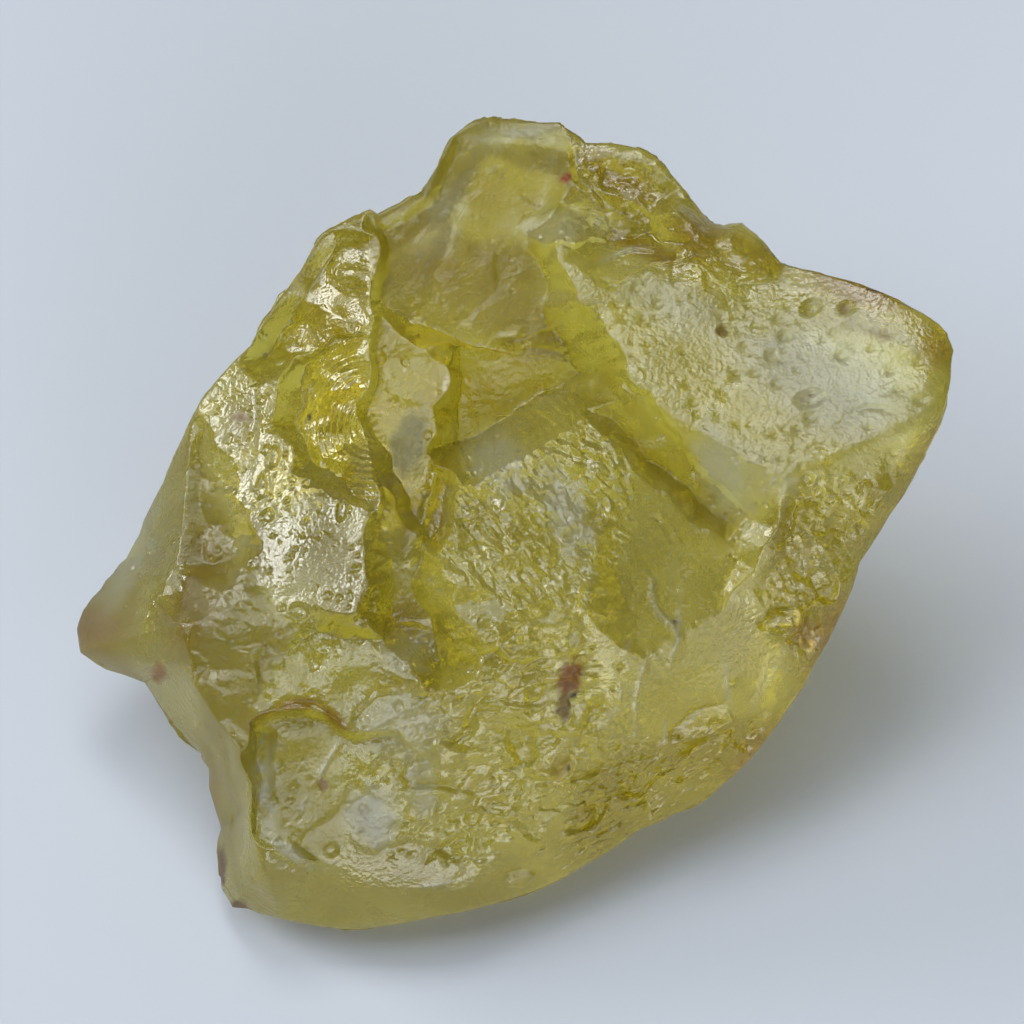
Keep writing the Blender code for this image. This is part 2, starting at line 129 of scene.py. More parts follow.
# Outlines that more than one table uses
HOLLOW_AREA = (
    (-10.4, 7.9), (-8.6, 9.4), (-6.9, 9.0), (-7.1, 6.25), (-6.35, 2.25), (-6.6, 0.6),
    (-8.5, 2.0), (-10.0, 3.25), (-10.45, 5.5),
)
FOOT_AREA = (
    (-5.5, -5.5), (-1.0, -4.5), (4.0, -6.0), (5.0, -11.0), (8.0, -12.5), (4.5, -15.5),
    (-1.5, -17.0), (-6.0, -16.0), (-4.5, -10.5),
)
RIGHT_AREA = (
    (13.0, 1.0), (14.5, 2.75), (18.0, 2.4), (21.0, 5.0), (20.0, 2.0), (17.0, -3.0),
    (14.5, -7.5), (12.5, -4.5),
)
SPEAR_AREA = (
    (-6.9, 10.75), (-3.5, 11.0), (-2.75, 7.25), (-4.25, 0.25), (-5.25, 1.25), (-7.25, 7.75),
)

# Flakes broken off the broad side: the outline of each flake's floor (across, up), a point of the
# floor with its rise to the right and upwards, and how steeply its wall climbs
CHIPS = {
    "middle": (
        ((1.75, 11.35), (3.75, 8.75), (6.75, 6.35), (9.0, 3.25), (11.1, 0.75), (11.4, -1.85),
         (9.5, -5.75), (4.5, -8.75), (2.5, -11.75), (-3.0, -9.75), (-3.5, -6.75), (-5.7, -4.75),
         (-6.1, -1.75), (-6.35, 2.25), (-7.1, 6.25), (-6.9, 11.25), (-6.6, 15.55),
         (-3.5, 18.75), (2.5, 20.15), (3.25, 16.25), (1.25, 14.75)),
        (0.0, 0.0, 6.2, 0.106, -0.317), 2.5),
    "upper slope": (
        ((-6.6, 15.6), (-3.5, 18.75), (-1.5, 20.75), (2.5, 20.65), (3.25, 16.75), (1.0, 14.5),
         (1.75, 11.25), (3.25, 7.75), (-2.75, 9.0), (-6.25, 11.25)),
        (-0.5, 18.0, 0.0, 0.02, -0.03), 2.2),
    "recess": (
        ((-2.75, 8.75), (2.5, 9.75), (3.25, 7.5), (1.5, 6.5), (-2.5, 4.0)),
        (0.0, 6.75, 0.2, -0.2, 0.08), 2.5),
    "spear": (
        ((-6.25, 11.25), (-3.5, 10.75), (-3.0, 7.25), (-4.0, -0.75), (-4.9, 1.25),
         (-6.25, 3.75), (-7.1, 6.25)),
        (-5.25, 6.25, 2.3, 0.25, -0.17), 2.5),
    "spear foot": (
        ((-6.35, 2.25), (-4.25, -1.0), (-4.75, -2.5), (-3.5, -6.5), (-5.7, -4.75), (-6.1, -1.75)),
        (-5.25, -1.75, 4.8, -0.2, 0.0), 1.6),
    "smooth cheek": (
        ((4.5, 6.75), (6.75, 6.25), (9.0, 3.25), (11.1, 0.75), (11.4, -1.85), (9.5, -5.75),
         (6.5, -6.25), (5.0, -1.75), (4.5, 2.75)),
        (6.0, 2.0, 6.0, -0.12, -0.05), 0.8),
    "left brow": (
        ((-12.4, -6.5), (-9.5, -5.5), (-5.75, -5.5), (-3.75, -8.5), (-6.0, -10.5),
         (-8.25, -10.6), (-10.5, -9.7), (-12.6, -10.15)),
        (-8.0, -7.75, 5.9, 0.3, -0.14), 1.2),
    "step below the top": (
        ((1.75, 11.25), (3.5, 8.75), (6.5, 6.4), (9.0, 3.25), (11.1, 0.7), (10.6, -0.2),
         (8.4, 2.0), (5.8, 4.6), (3.0, 6.9), (1.6, 9.2)),
        (4.5, 7.25, 4.2, 0.5, 0.4), 2.5),
    "left foot pane": (
        ((-12.6, -10.15), (-10.5, -9.35), (-8.25, -10.25), (-5.5, -10.75), (-3.5, -11.75),
         (-4.0, -13.75), (-6.0, -16.25), (-10.5, -16.75), (-12.4, -15.0)),
        (-9.0, -13.25, 4.9, 0.3, -0.12), 2.5),
    "left shade": (
        ((-15.5, -1.75), (-12.4, -3.25), (-9.5, -4.35), (-10.5, -5.75), (-12.4, -8.25),
         (-12.4, -9.5), (-15.25, -10.25)),
        (-13.25, -6.25, 4.6, 0.5, 0.1), 0.7),
    "left shoulder": (
        ((-15.9, 5.5), (-13.75, 6.25), (-13.25, 3.75), (-14.75, 2.75), (-13.0, 1.25),
         (-12.75, -1.0), (-15.25, -1.75)),
        (-14.25, 2.25, 1.2, 0.95, -0.08), 1.0),
    "rippled hollow": (
        HOLLOW_AREA,
        (-6.5, 5.0, 4.1, 0.88, -0.38), 2.2),
    "upper left": (
        ((-13.2, 9.0), (-12.4, 9.65), (-9.35, 14.5), (-7.0, 15.75), (-6.9, 11.25), (-7.0, 8.6),
         (-9.2, 9.0), (-11.2, 8.3), (-12.6, 8.5)),
        (-7.0, 12.0, 1.5, 0.76, -0.30), 2.0),
    "top edge": (
        ((3.25, 19.75), (9.0, 16.25), (9.5, 15.0), (6.5, 14.5), (4.5, 14.25), (3.5, 16.25)),
        (6.5, 16.75, 0.9, 0.0, -0.1), 1.0),
}

# Crumpled areas: the outline of each, how long and how wide its flakes are, the way they run
# (degrees from across), how steeply they tilt, how far they differ in height, and a seed
CRUMPLES = {
    "centre": (
        ((-2.5, 3.75), (0.0, 5.5), (3.0, 7.25), (5.0, 6.0), (5.25, 2.5), (6.0, -2.0), (4.5, -5.5),
         (1.0, -6.0), (-2.0, -3.5), (-4.0, -1.5)),
        2.6, 1.1, -55.0, 0.12, 0.06, 3.0),
    "foot": (
        FOOT_AREA,
        2.4, 1.3, 25.0, 0.28, 0.12, 8.0),
    "lower right": (
        ((5.0, -11.25), (9.0, -10.5), (13.0, -9.3), (12.0, -11.5), (9.5, -13.5), (5.0, -16.2),
         (2.0, -17.0)),
        1.8, 1.2, 30.0, 0.25, 0.15, 5.0),
    "right": (
        RIGHT_AREA,
        2.2, 1.4, -60.0, 0.25, 0.15, 9.0),
    "left shade": (
        ((-15.5, -1.75), (-12.4, -3.25), (-9.5, -4.35), (-12.4, -8.25), (-15.25, -9.0)),
        2.4, 1.0, -25.0, 0.15, 0.07, 2.0),
    "upper right": (
        ((3.5, 19.0), (7.5, 17.5), (9.5, 15.2), (14.0, 12.9), (11.0, 12.0), (7.0, 13.0),
         (3.0, 14.5)),
        2.0, 1.0, -20.0, 0.25, 0.12, 6.0),
    "upper slope": (
        ((-6.2, 15.3), (-3.3, 18.3), (-1.5, 20.2), (2.5, 20.0), (3.0, 16.75), (0.6, 14.3),
         (1.3, 11.25), (2.6, 8.6), (-2.4, 9.8), (-5.6, 11.6)),
        2.4, 1.1, 58.0, 0.11, 0.04, 4.0),
}
CRUMPLE_EDGE = 1.2             # width over which a crumpled area fades out
FLAKE_CRISPNESS = 11.0         # higher makes the step from one flake to the next steeper
WANDER = ((3.2, 0.26, 71), (1.1, 0.05, 73))    # how far chip edges stray: size, distance and seed
SWELL = ((7.0, 0.16, 1), (2.6, 0.05, 2))    # wave size, height and seed of the worn surface
WAVES = 16                     # waves that each swell is made of
WAVE_SIZES = (0.6, 1.6)        # the range of their sizes

# Cleavage steps of the back and underside: their spacing in height, how deep each one cuts in,
# how far the step lines wander and over how much of the spacing a step drops
STEP_SPACING = 4.3
STEP_DEPTH = 0.55
STEP_WANDER = 1.1
STEP_SHARE = 0.12
STEP_BEND = (15.0, 4)          # wave size and seed of the step lines' wander
STEP_UNEVEN = 0.4              # how much the depth varies along a step
STEP_FADE = (9.0, 5)           # wave size and seed of that

# Knobs left standing on the broad side, in the same terms as the chips
KNOBS = {
    "brown knob": (
        ((9.0, 15.0), (11.75, 14.85), (13.1, 13.5), (13.5, 13.0), (11.25, 11.75), (9.0, 13.15)),
        (11.25, 13.75, 3.2, 0.0, 0.0), 1.2),
}

# Finer flakes inside the crumpled areas, in the same terms
FINE_CRUMPLES = {
    "centre glitter": (
        ((-3.0, 3.75), (0.0, 5.25), (3.0, 6.75), (4.75, 5.75), (6.0, 2.25), (5.5, -1.75),
         (3.5, -4.0), (0.5, -4.5), (-2.0, -2.5), (-3.9, -1.5)),
        0.95, 0.30, -55.0, 0.34, 0.030, 13.0),
    "foot glitter": (
        FOOT_AREA,
        0.75, 0.42, 20.0, 0.32, 0.035, 18.0),
    "right glitter": (
        RIGHT_AREA,
        0.75, 0.45, -60.0, 0.34, 0.040, 19.0),
    "band fibres": (
        ((5.0, -10.75), (9.0, -10.3), (13.0, -9.3), (12.0, -11.5), (9.5, -13.5), (5.0, -16.2),
         (2.0, -17.0), (3.5, -13.0)),
        1.20, 0.26, 28.0, 0.34, 0.035, 15.0),
    "left glitter": (
        ((-15.5, 3.0), (-13.4, 2.0), (-12.4, -3.25), (-9.5, -4.35), (-11.4, -9.0), (-15.25, -9.0)),
        0.9, 0.40, -30.0, 0.12, 0.020, 12.0),
    "upper glitter": (
        ((3.5, 18.6), (7.5, 17.2), (9.5, 15.0), (13.5, 13.0), (11.0, 12.0), (7.0, 13.0),
         (3.0, 14.5)),
        0.90, 0.50, -20.0, 0.26, 0.040, 26.0),
}
FINE_CRISPNESS = 24.0
FINE_EDGE = 0.8                # width over which finer flakes and ripples fade out

# Arcs that spread from a blow: outline of the area, centre, spacing, height and how far they bend
RIPPLES = {
    "rippled hollow": (
        ((-10.2, 7.2), (-8.9, 8.6), (-7.2, 8.4), (-6.7, 6.0), (-6.4, 3.5), (-6.3, 0.7),
         (-7.6, 1.4), (-9.4, 3.1), (-10.3, 5.3)),
        (-6.6, 5.0), 0.34, 0.080, 0.10),
    "feathered foot": (
        ((-8.3, 2.6), (-6.3, 2.2), (-6.0, 0.0), (-7.0, 0.5)),
        (-2.5, 5.5), 0.27, 0.035, 0.10),
    "lower arcs": (
        ((7.0, -2.0), (9.5, -4.5), (9.0, -9.5), (5.5, -10.5), (4.5, -8.0), (5.5, -4.5)),
        (16.0, -1.0), 0.95, 0.055, 0.6),
    "foot arcs": (
        ((-6.0, -9.5), (-1.5, -10.5), (-2.5, -15.5), (-6.5, -16.0)),
        (-12.0, -8.0), 0.8, 0.05, 0.5),
}

# Share of a ripple's spacing in which it rises and falls, then wave size and seed of how the
# ripples bend and how their height varies
RIPPLE_RISE = 0.7
RIPPLE_FALL = 0.3
RIPPLE_BEND = (4.0, 51)
RIPPLE_FADE = (2.0, 52)

# Drawn-out ridges: outline of the area, the way they run (degrees from across), width, height, seed
FLOWS = {
    "slope flow": (
        ((5.0, 5.0), (9.5, 1.5), (11.0, -2.0), (9.5, -6.0), (6.0, -5.0), (4.5, 0.0)),
        -58.0, 0.9, 0.012, 21),
    "spear flow": (
        SPEAR_AREA,
        75.0, 0.8, 0.012, 22),
    "recess grain": (
        ((-2.9, 9.3), (2.5, 9.75), (3.25, 7.5), (1.5, 6.5), (-2.5, 4.0)),
        8.0, 0.5, 0.012, 23),
}

FLOW_EDGE = 1.2                # width over which they fade out
FLOW_SQUEEZE = 0.16            # their width as a share of their length

# Small plates that catch the light: outline, how much further each one rises to the right and
# upwards than the face round it, how far it stands out and how wide its edge is
PLATES = {
    "hatched patch": (
        ((-6.6, -5.75), (-5.9, -5), (-4.75, -4.85), (-3.6, -5.35), (-3.2, -6.5), (-3.5, -7.5),
         (-4.25, -7.85), (-5.25, -7.55), (-6, -7.15)),
        0.1, -0.2, 0.0, 0.45),
    "speckled patch": (
        ((-7.9, -11.35), (-8, -10.5), (-7.4, -9), (-6.5, -8.25), (-5, -7.95), (-3.5, -8.25),
         (-3.15, -10), (-3.5, -11), (-4.25, -10.65), (-5.5, -11), (-6.1, -10.85), (-6.9, -12)),
        0.06, -0.12, 0.0, 0.5),
    "ragged patch": (
        ((-5.3, -12.25), (-4.9, -11.35), (-4.25, -11.15), (-3.65, -10.85), (-3.5, -12.25),
         (-3.1, -12.85), (-3.5, -13.5), (-3.7, -14.35), (-4.5, -14.65), (-5.1, -14.35),
         (-4.9, -13.5)),
        0.15, -0.2, 0.0, 0.4),
    "round patch": (
        ((-7.9, -12.85), (-7.4, -12.65), (-6.6, -13.35), (-6, -13.75), (-5.7, -14.75),
         (-6, -15.65), (-6.7, -16.05), (-7.5, -15.85), (-8, -15.15), (-8.25, -14)),
        0.04, -0.12, 0.0, 0.5),
    "pane edge": (
        ((-12.7, -10.15), (-11.7, -10.25), (-11.8, -11.75), (-11.65, -13.75), (-11.25, -15),
         (-10.5, -15.9), (-9.6, -16.55), (-10.5, -16.65), (-11.55, -16.05), (-12.3, -15.2),
         (-12.7, -14.35)),
        0.12, -0.2, 0.0, 0.4),
    "left splinter": (
        ((0.6, -7.2), (1.2, -6.8), (1.7, -7.1), (1.7, -7.85), (1.4, -8.45), (0.8, -8.65),
         (0.7, -7.95)),
        0.25, -0.45, 0.08, 0.16),
    "upper splinter": (
        ((-0.25, -6.45), (0.15, -5.85), (0.6, -5.75), (1.2, -6.05), (1.7, -5.85), (1.1, -6.45),
         (0.45, -6.65)),
        0.25, -0.45, 0.08, 0.16),
    "small white chip": (
        ((0.25, -3.3), (0.8, -3.3), (1.2, -3.65), (1.4, -4.05), (1, -3.95), (0.5, -3.55)),
        0.25, -0.45, 0.08, 0.16),
    "square white chip": (
        ((3.8, -3.65), (4.45, -3.3), (4.85, -3.85), (4.65, -4.5), (4.05, -4.25)),
        0.25, -0.45, 0.08, 0.16),
    "tall white chip": (
        ((2.8, -5.4), (3, -4.7), (3.4, -5), (3.6, -5.75), (3.1, -6.35), (2.85, -5.95)),
        0.25, -0.45, 0.08, 0.16),
    "slope gleam": (
        ((7.9, -10.05), (9, -9.1), (10.6, -8.75), (11.1, -9.65), (10.25, -10.3), (9, -10.6),
         (7.9, -10.85)),
        0.35, -0.5, 0.04, 0.16),
    "right gleam": (
        ((12.35, -5), (12.75, -4.15), (13.75, -4), (14.5, -4.35), (14.25, -5.15), (13.5, -5.65),
         (12.9, -5.45)),
        0.45, -0.6, 0.1, 0.16),
    "top arcs": (
        ((0.25, 14.85), (0.75, 15.5), (1.5, 15.65), (2.5, 16), (3.5, 15.75), (4.5, 15.5),
         (5.1, 14.65), (4.75, 14.1), (4, 14.25), (3.25, 13.75), (2.5, 14), (1.75, 13.75),
         (1, 14.25)),
        0, -0.38, 0.06, 0.16),
    "wavy gleam": (
        ((4.35, 12.85), (5.25, 13.45), (6.25, 13.75), (7.1, 13.6), (7.5, 13.15), (6.5, 12.5),
         (5.25, 12), (4.5, 12.25)),
        0, -0.3, 0.05, 0.16),
    "knob gleam": (
        ((-1.3, 19.7), (-0.5, 19.95), (1, 19.9), (1.75, 19.65), (1, 19.2), (-0.25, 19.25)),
        0, -0.4, 0.04, 0.16),
    "left streak": (
        ((-1.25, 17.55), (-0.9, 17.95), (-0.5, 18.15), (-0.65, 17.75), (-1.05, 17.35)),
        0.1, -0.3, 0.03, 0.16),
    "second streak": (
        ((-2.4, 16.25), (-1.9, 16.65), (-1.3, 16.85), (-1.5, 16.5), (-2.1, 16.1)),
        0.1, -0.3, 0.03, 0.16),
    "white dot": (
        ((10.8, -7.55), (11.1, -7.5), (11.2, -7.75), (11.0, -7.95), (10.75, -7.8)),
        0.5, -0.7, 0.10, 0.16),
    "corner glint": (
        ((-0.3, -17.1), (0.6, -16.9), (1.3, -17.3), (0.7, -17.9), (-0.1, -17.8)),
        0.3, -0.7, 0.10, 0.2),
}

PLATE_REACH = 9.0              # no plate lies further from its middle than this

# Places where a face leans a little more: across, up, radius, rise to the right and upwards
LEANS = {
    "hot spot": (-11.3, -1.3, 1.7, 0.21, -0.06),
    "white sheen": (17.0, 7.6, 9.0, 0.07, -0.05),
}

# Thin ridges and, where the height is negative, creases: the line of each one, its half width
# and its height
RIDGES = {
    "long needle": (
        ((6.84, -6.15), (6.41, -7.3), (6.17, -8.45), (6.12, -9.4), (6.22, -10.35)),
        0.1, 0.09),
    "short needle": (
        ((5.89, -5.58), (5.64, -6.2)),
        0.1, 0.08),
    "left needle": (
        ((5.41, -7.78), (5.38, -8.59)),
        0.1, 0.08),
    "low needle": (
        ((7.65, -9.6), (7.6, -10.84)),
        0.11, 0.08),
    "white crest": (
        ((7.03, -2.7), (6.94, -3.55), (7.22, -4.24), (7.89, -4.8), (8.22, -5.58), (7.99, -6.25),
         (7.84, -6.9)),
        0.17, 0.14),
    "crest spur": (
        ((8.28, -3.85), (8.3, -4.75), (8.22, -5.58)),
        0.16, 0.06),
    "foot ledge": (
        ((1.68, -5.85), (0.95, -6.35), (0.4, -6.75), (0.05, -7.1)),
        0.14, 0.1),
    "foot crease": (
        ((1.85, -6.25), (1.1, -6.65), (0.5, -7.1), (0.15, -7.4)),
        0.14, -0.1),
    "pane splinter": (
        ((-8.37, -10.65), (-8.95, -11.6), (-9.38, -12.37), (-9.32, -12.85)),
        0.13, 0.12),
    "small splinter": (
        ((-10, -13.33), (-10.33, -14.19)),
        0.12, 0.08),
    "bottom ledge": (
        ((-4.35, -17.9), (-3.11, -17.68)),
        0.12, 0.06),
    "slope line": (
        ((10.53, -6.39), (10.72, -8.02), (10.95, -9.74)),
        0.13, 0.03),
    "right line": (
        ((12.82, -6.49), (12.54, -7.44), (11.96, -9.25)),
        0.12, 0.03),
    "outer right line": (
        ((13.39, -6.49), (12.82, -7.64), (12.44, -8.3)),
        0.12, 0.03),
    "upper hook": (
        ((2.09, 15.26), (2.54, 15.15), (2.89, 14.7), (3.15, 14.4)),
        0.14, -0.1),
    "lower hook": (
        ((1.74, 13.9), (2.2, 14.3), (2.89, 14.46)),
        0.14, -0.1),
    "wavy ledge": (
        ((3.75, 13.15), (4.95, 13.77), (6.1, 14.3), (7.25, 14.25), (7.83, 13.65), (8.5, 13.2)),
        0.2, -0.12),
    "wavy crest": (
        ((4.38, 12.95), (5.19, 13.4), (6.1, 13.77), (7, 13.65)),
        0.14, 0.06),
    "arc ledge": (
        ((16.2, 4.9), (16.9, 5.6), (17.6, 5.8), (18.4, 5.7), (19.05, 5.25)),
        0.15, -0.1),
    "short arc": (
        ((14.5, 3.65), (15.1, 3.95), (15.7, 3.75)),
        0.13, -0.08),
    "lens rim": (
        ((-0.25, 8.65), (1, 8.85), (2.5, 8.65), (3.4, 7.85), (3.7, 7.05)),
        0.13, 0.05),
    "rib": (
        ((-2.9, 8.6), (-2.9, 7.25), (-3.0, 5.85), (-3.35, 4.0), (-3.8, 2.4), (-4.25, 0.4),
         (-4.9, -1.65)),
        0.30, 0.34),
    "rib crease": (
        ((-2, 7), (-1.7, 4.75), (-2, 2.75), (-2.75, 0.5)),
        0.14, -0.08),
    "brow ledge": (
        ((-12.25, -9.55), (-11.4, -9.05), (-10.5, -8.7), (-9.6, -8.8), (-8.75, -9.35), (-8, -9.85)),
        0.2, -0.14),
    "left crack": (
        ((-12.6, 8.25), (-12.4, 5.25), (-12.55, 2.75)),
        0.12, -0.06),
    "tip crease": (
        ((-17.5, -1.75), (-18, -3.75), (-18.2, -5.75)),
        0.14, 0.05),
}

RIDGE_END = 0.35               # height of a ridge's ends, as a share of its middle

# Ridges painted white as a highlight, and how much
RIDGE_HIGHLIGHT = 0.65
HIGHLIGHTED_RIDGES = (
    "long needle", "short needle", "left needle", "low needle", "white crest", "crest spur",
    "slope line", "right line", "outer right line", "pane splinter", "small splinter",
    "bottom ledge", "wavy crest",
)

# Etched skin: outline of the area, grain size, height, share of it that is pitted, and a seed
ETCHED = {
    "pitted left": (
        ((-15.75, 4.75), (-13.5, 8.25), (-11.0, 10.25), (-9.4, 8.65), (-9.9, 5.25),
         (-8.75, 2.75), (-6.25, 0.25), (-5.75, -3.25), (-3.5, -5.75), (-3.5, -8.25),
         (-6.5, -9.0), (-10.5, -8.25), (-13.0, -5.75), (-14.9, -3.75), (-15.6, 0.25)),
        0.42, 0.0028, 1.0, 31),
    "white face": (
        ((1.75, 14.65), (4.5, 14.0), (6.5, 13.15), (9.5, 11.5), (14.5, 11.25), (19.5, 9.25),
         (20.75, 7.65), (19.75, 4.75), (16.0, 2.25), (13.25, 1.25), (11.25, -2.5), (9.5, 1.0),
         (7.0, 6.25), (4.0, 9.75), (2.0, 11.75)),
        0.60, 0.0035, 0.8, 32),
    "centre": (
        ((-2.75, 3.25), (2.5, 6.25), (4.5, 5.75), (5.75, 2.25), (4.5, -1.75), (2.5, -3.75),
         (-0.5, -1.75), (-3.5, -1.75)),
        0.40, 0.0075, 0.8, 33),
    "spear": (
        SPEAR_AREA,
        0.45, 0.0045, 0.5, 34),
    "foot panes": (
        ((-12.6, -10.0), (-9.0, -9.0), (-6.0, -8.0), (-3.5, -8.5), (-3.2, -12.0), (-4.0, -14.75),
         (-6.5, -16.3), (-10.5, -16.9), (-12.5, -15.0)),
        0.40, 0.0028, 0.7, 35),
}

SKIN_EDGE = 1.0                # width over which an etched area fades out
BROAD_PITTING = 0.12           # share that is pitted elsewhere on the broad side
BACK_PITTING = 0.3             # and on the back
CROWDING = 0.6                 # how strongly the pits crowd together
PITTING_CROWDS = (4.0, 61)     # wave size and seed of that
LEAST_PITTING = 0.05           # share of that pitting left between the crowds

# Pits in the broad side: across, up, half length, half width, turn in degrees and depth
PITS = {
    "oval pit": (-8.25, 0.75, 0.62, 0.32, 80.0, 0.16),
    "twin pit": (-11.75, 4.95, 0.46, 0.40, 20.0, 0.13),
    "other twin": (-11.0, 4.95, 0.42, 0.38, 0.0, 0.13),
    "small twin": (-12.3, 5.15, 0.26, 0.24, 0.0, 0.08),
    "chain top": (-10.65, 6.75, 0.38, 0.32, 30.0, 0.11),
    "chain head": (-12.5, 7.3, 0.40, 0.30, 40.0, 0.11),
    "chain knot": (-12.4, 6.25, 0.30, 0.24, 10.0, 0.09),
    "chain link": (-11.7, 3.35, 0.66, 0.36, 80.0, 0.12),
    "chain dot": (-10.5, 3.75, 0.26, 0.24, 0.0, 0.08),
    "long link": (-12.3, 1.9, 0.70, 0.30, 84.0, 0.13),
    "low link": (-12.0, 0.45, 0.42, 0.34, 30.0, 0.12),
    "inner dot": (-10.0, 2.05, 0.28, 0.24, 0.0, 0.09),
    "inner twin": (-10.7, 2.25, 0.24, 0.20, 0.0, 0.08),
    "inner speck": (-11.0, 1.2, 0.20, 0.18, 0.0, 0.07),
    "shore pit": (-10.3, -4.2, 0.62, 0.42, -10.0, 0.16),
    "shore dot": (-8.9, -3.45, 0.28, 0.22, 0.0, 0.09),
    "shore twin": (-8.35, -3.55, 0.24, 0.20, 0.0, 0.08),
    "shore end": (-6.9, -4.1, 0.52, 0.40, 60.0, 0.14),
    "left ring": (-10.25, -5.5, 0.36, 0.34, 0.0, 0.12),
    "second ring": (-9.15, -5.9, 0.38, 0.34, 0.0, 0.12),
    "third ring": (-8.6, -5.0, 0.30, 0.30, 0.0, 0.10),
    "orange pit": (2.6, -11.9, 0.72, 0.55, 60.0, 0.20),
    "brown pit": (10.55, 9.6, 0.38, 0.34, 0.0, 0.14),
    "square pit": (14.7, 6.2, 0.9, 0.5, 15.0, 0.12),
    "slope pit": (16.6, 10.7, 0.45, 0.4, 0.0, 0.14),
    "rim pit": (14.9, 10.8, 0.6, 0.45, 30.0, 0.14),
    "centre pit": (3.0, -0.4, 0.55, 0.4, 40.0, 0.18),
    "centre hollow": (3.6, -1.3, 0.5, 0.3, -30.0, 0.14),
}

# Form of every pit, as shares of its half width and depth
PIT_FLATNESS = 1.3
PIT_RIM_AT = 1.15
PIT_RIM_WIDTH = 0.2
PIT_RIM_HEIGHT = 0.18

# Knocks along the rim and fine wear everywhere: size, height and seed
WEAR = ((1.4, 0.035, 41), (0.55, 0.012, 42))
BROAD_WEAR = 0.22              # share of that wear on the broad side
BROAD_SWELL = 0.35             # share of the worn surface's swell there

# Etch pits scattered by the geometry nodes: spacing, smallest and largest radius, depth as a
# share of the radius, and a seed
ETCH_PITS = {
    "large_pits": (1.2, 0.16, 0.42, 0.36, 7),
    "small_pits": (0.42, 0.08, 0.20, 0.50, 8),
}

MOST_PITS = 4.0e6              # to the square metre
ETCH_FLATNESS = 1.4            # higher flattens their floors more
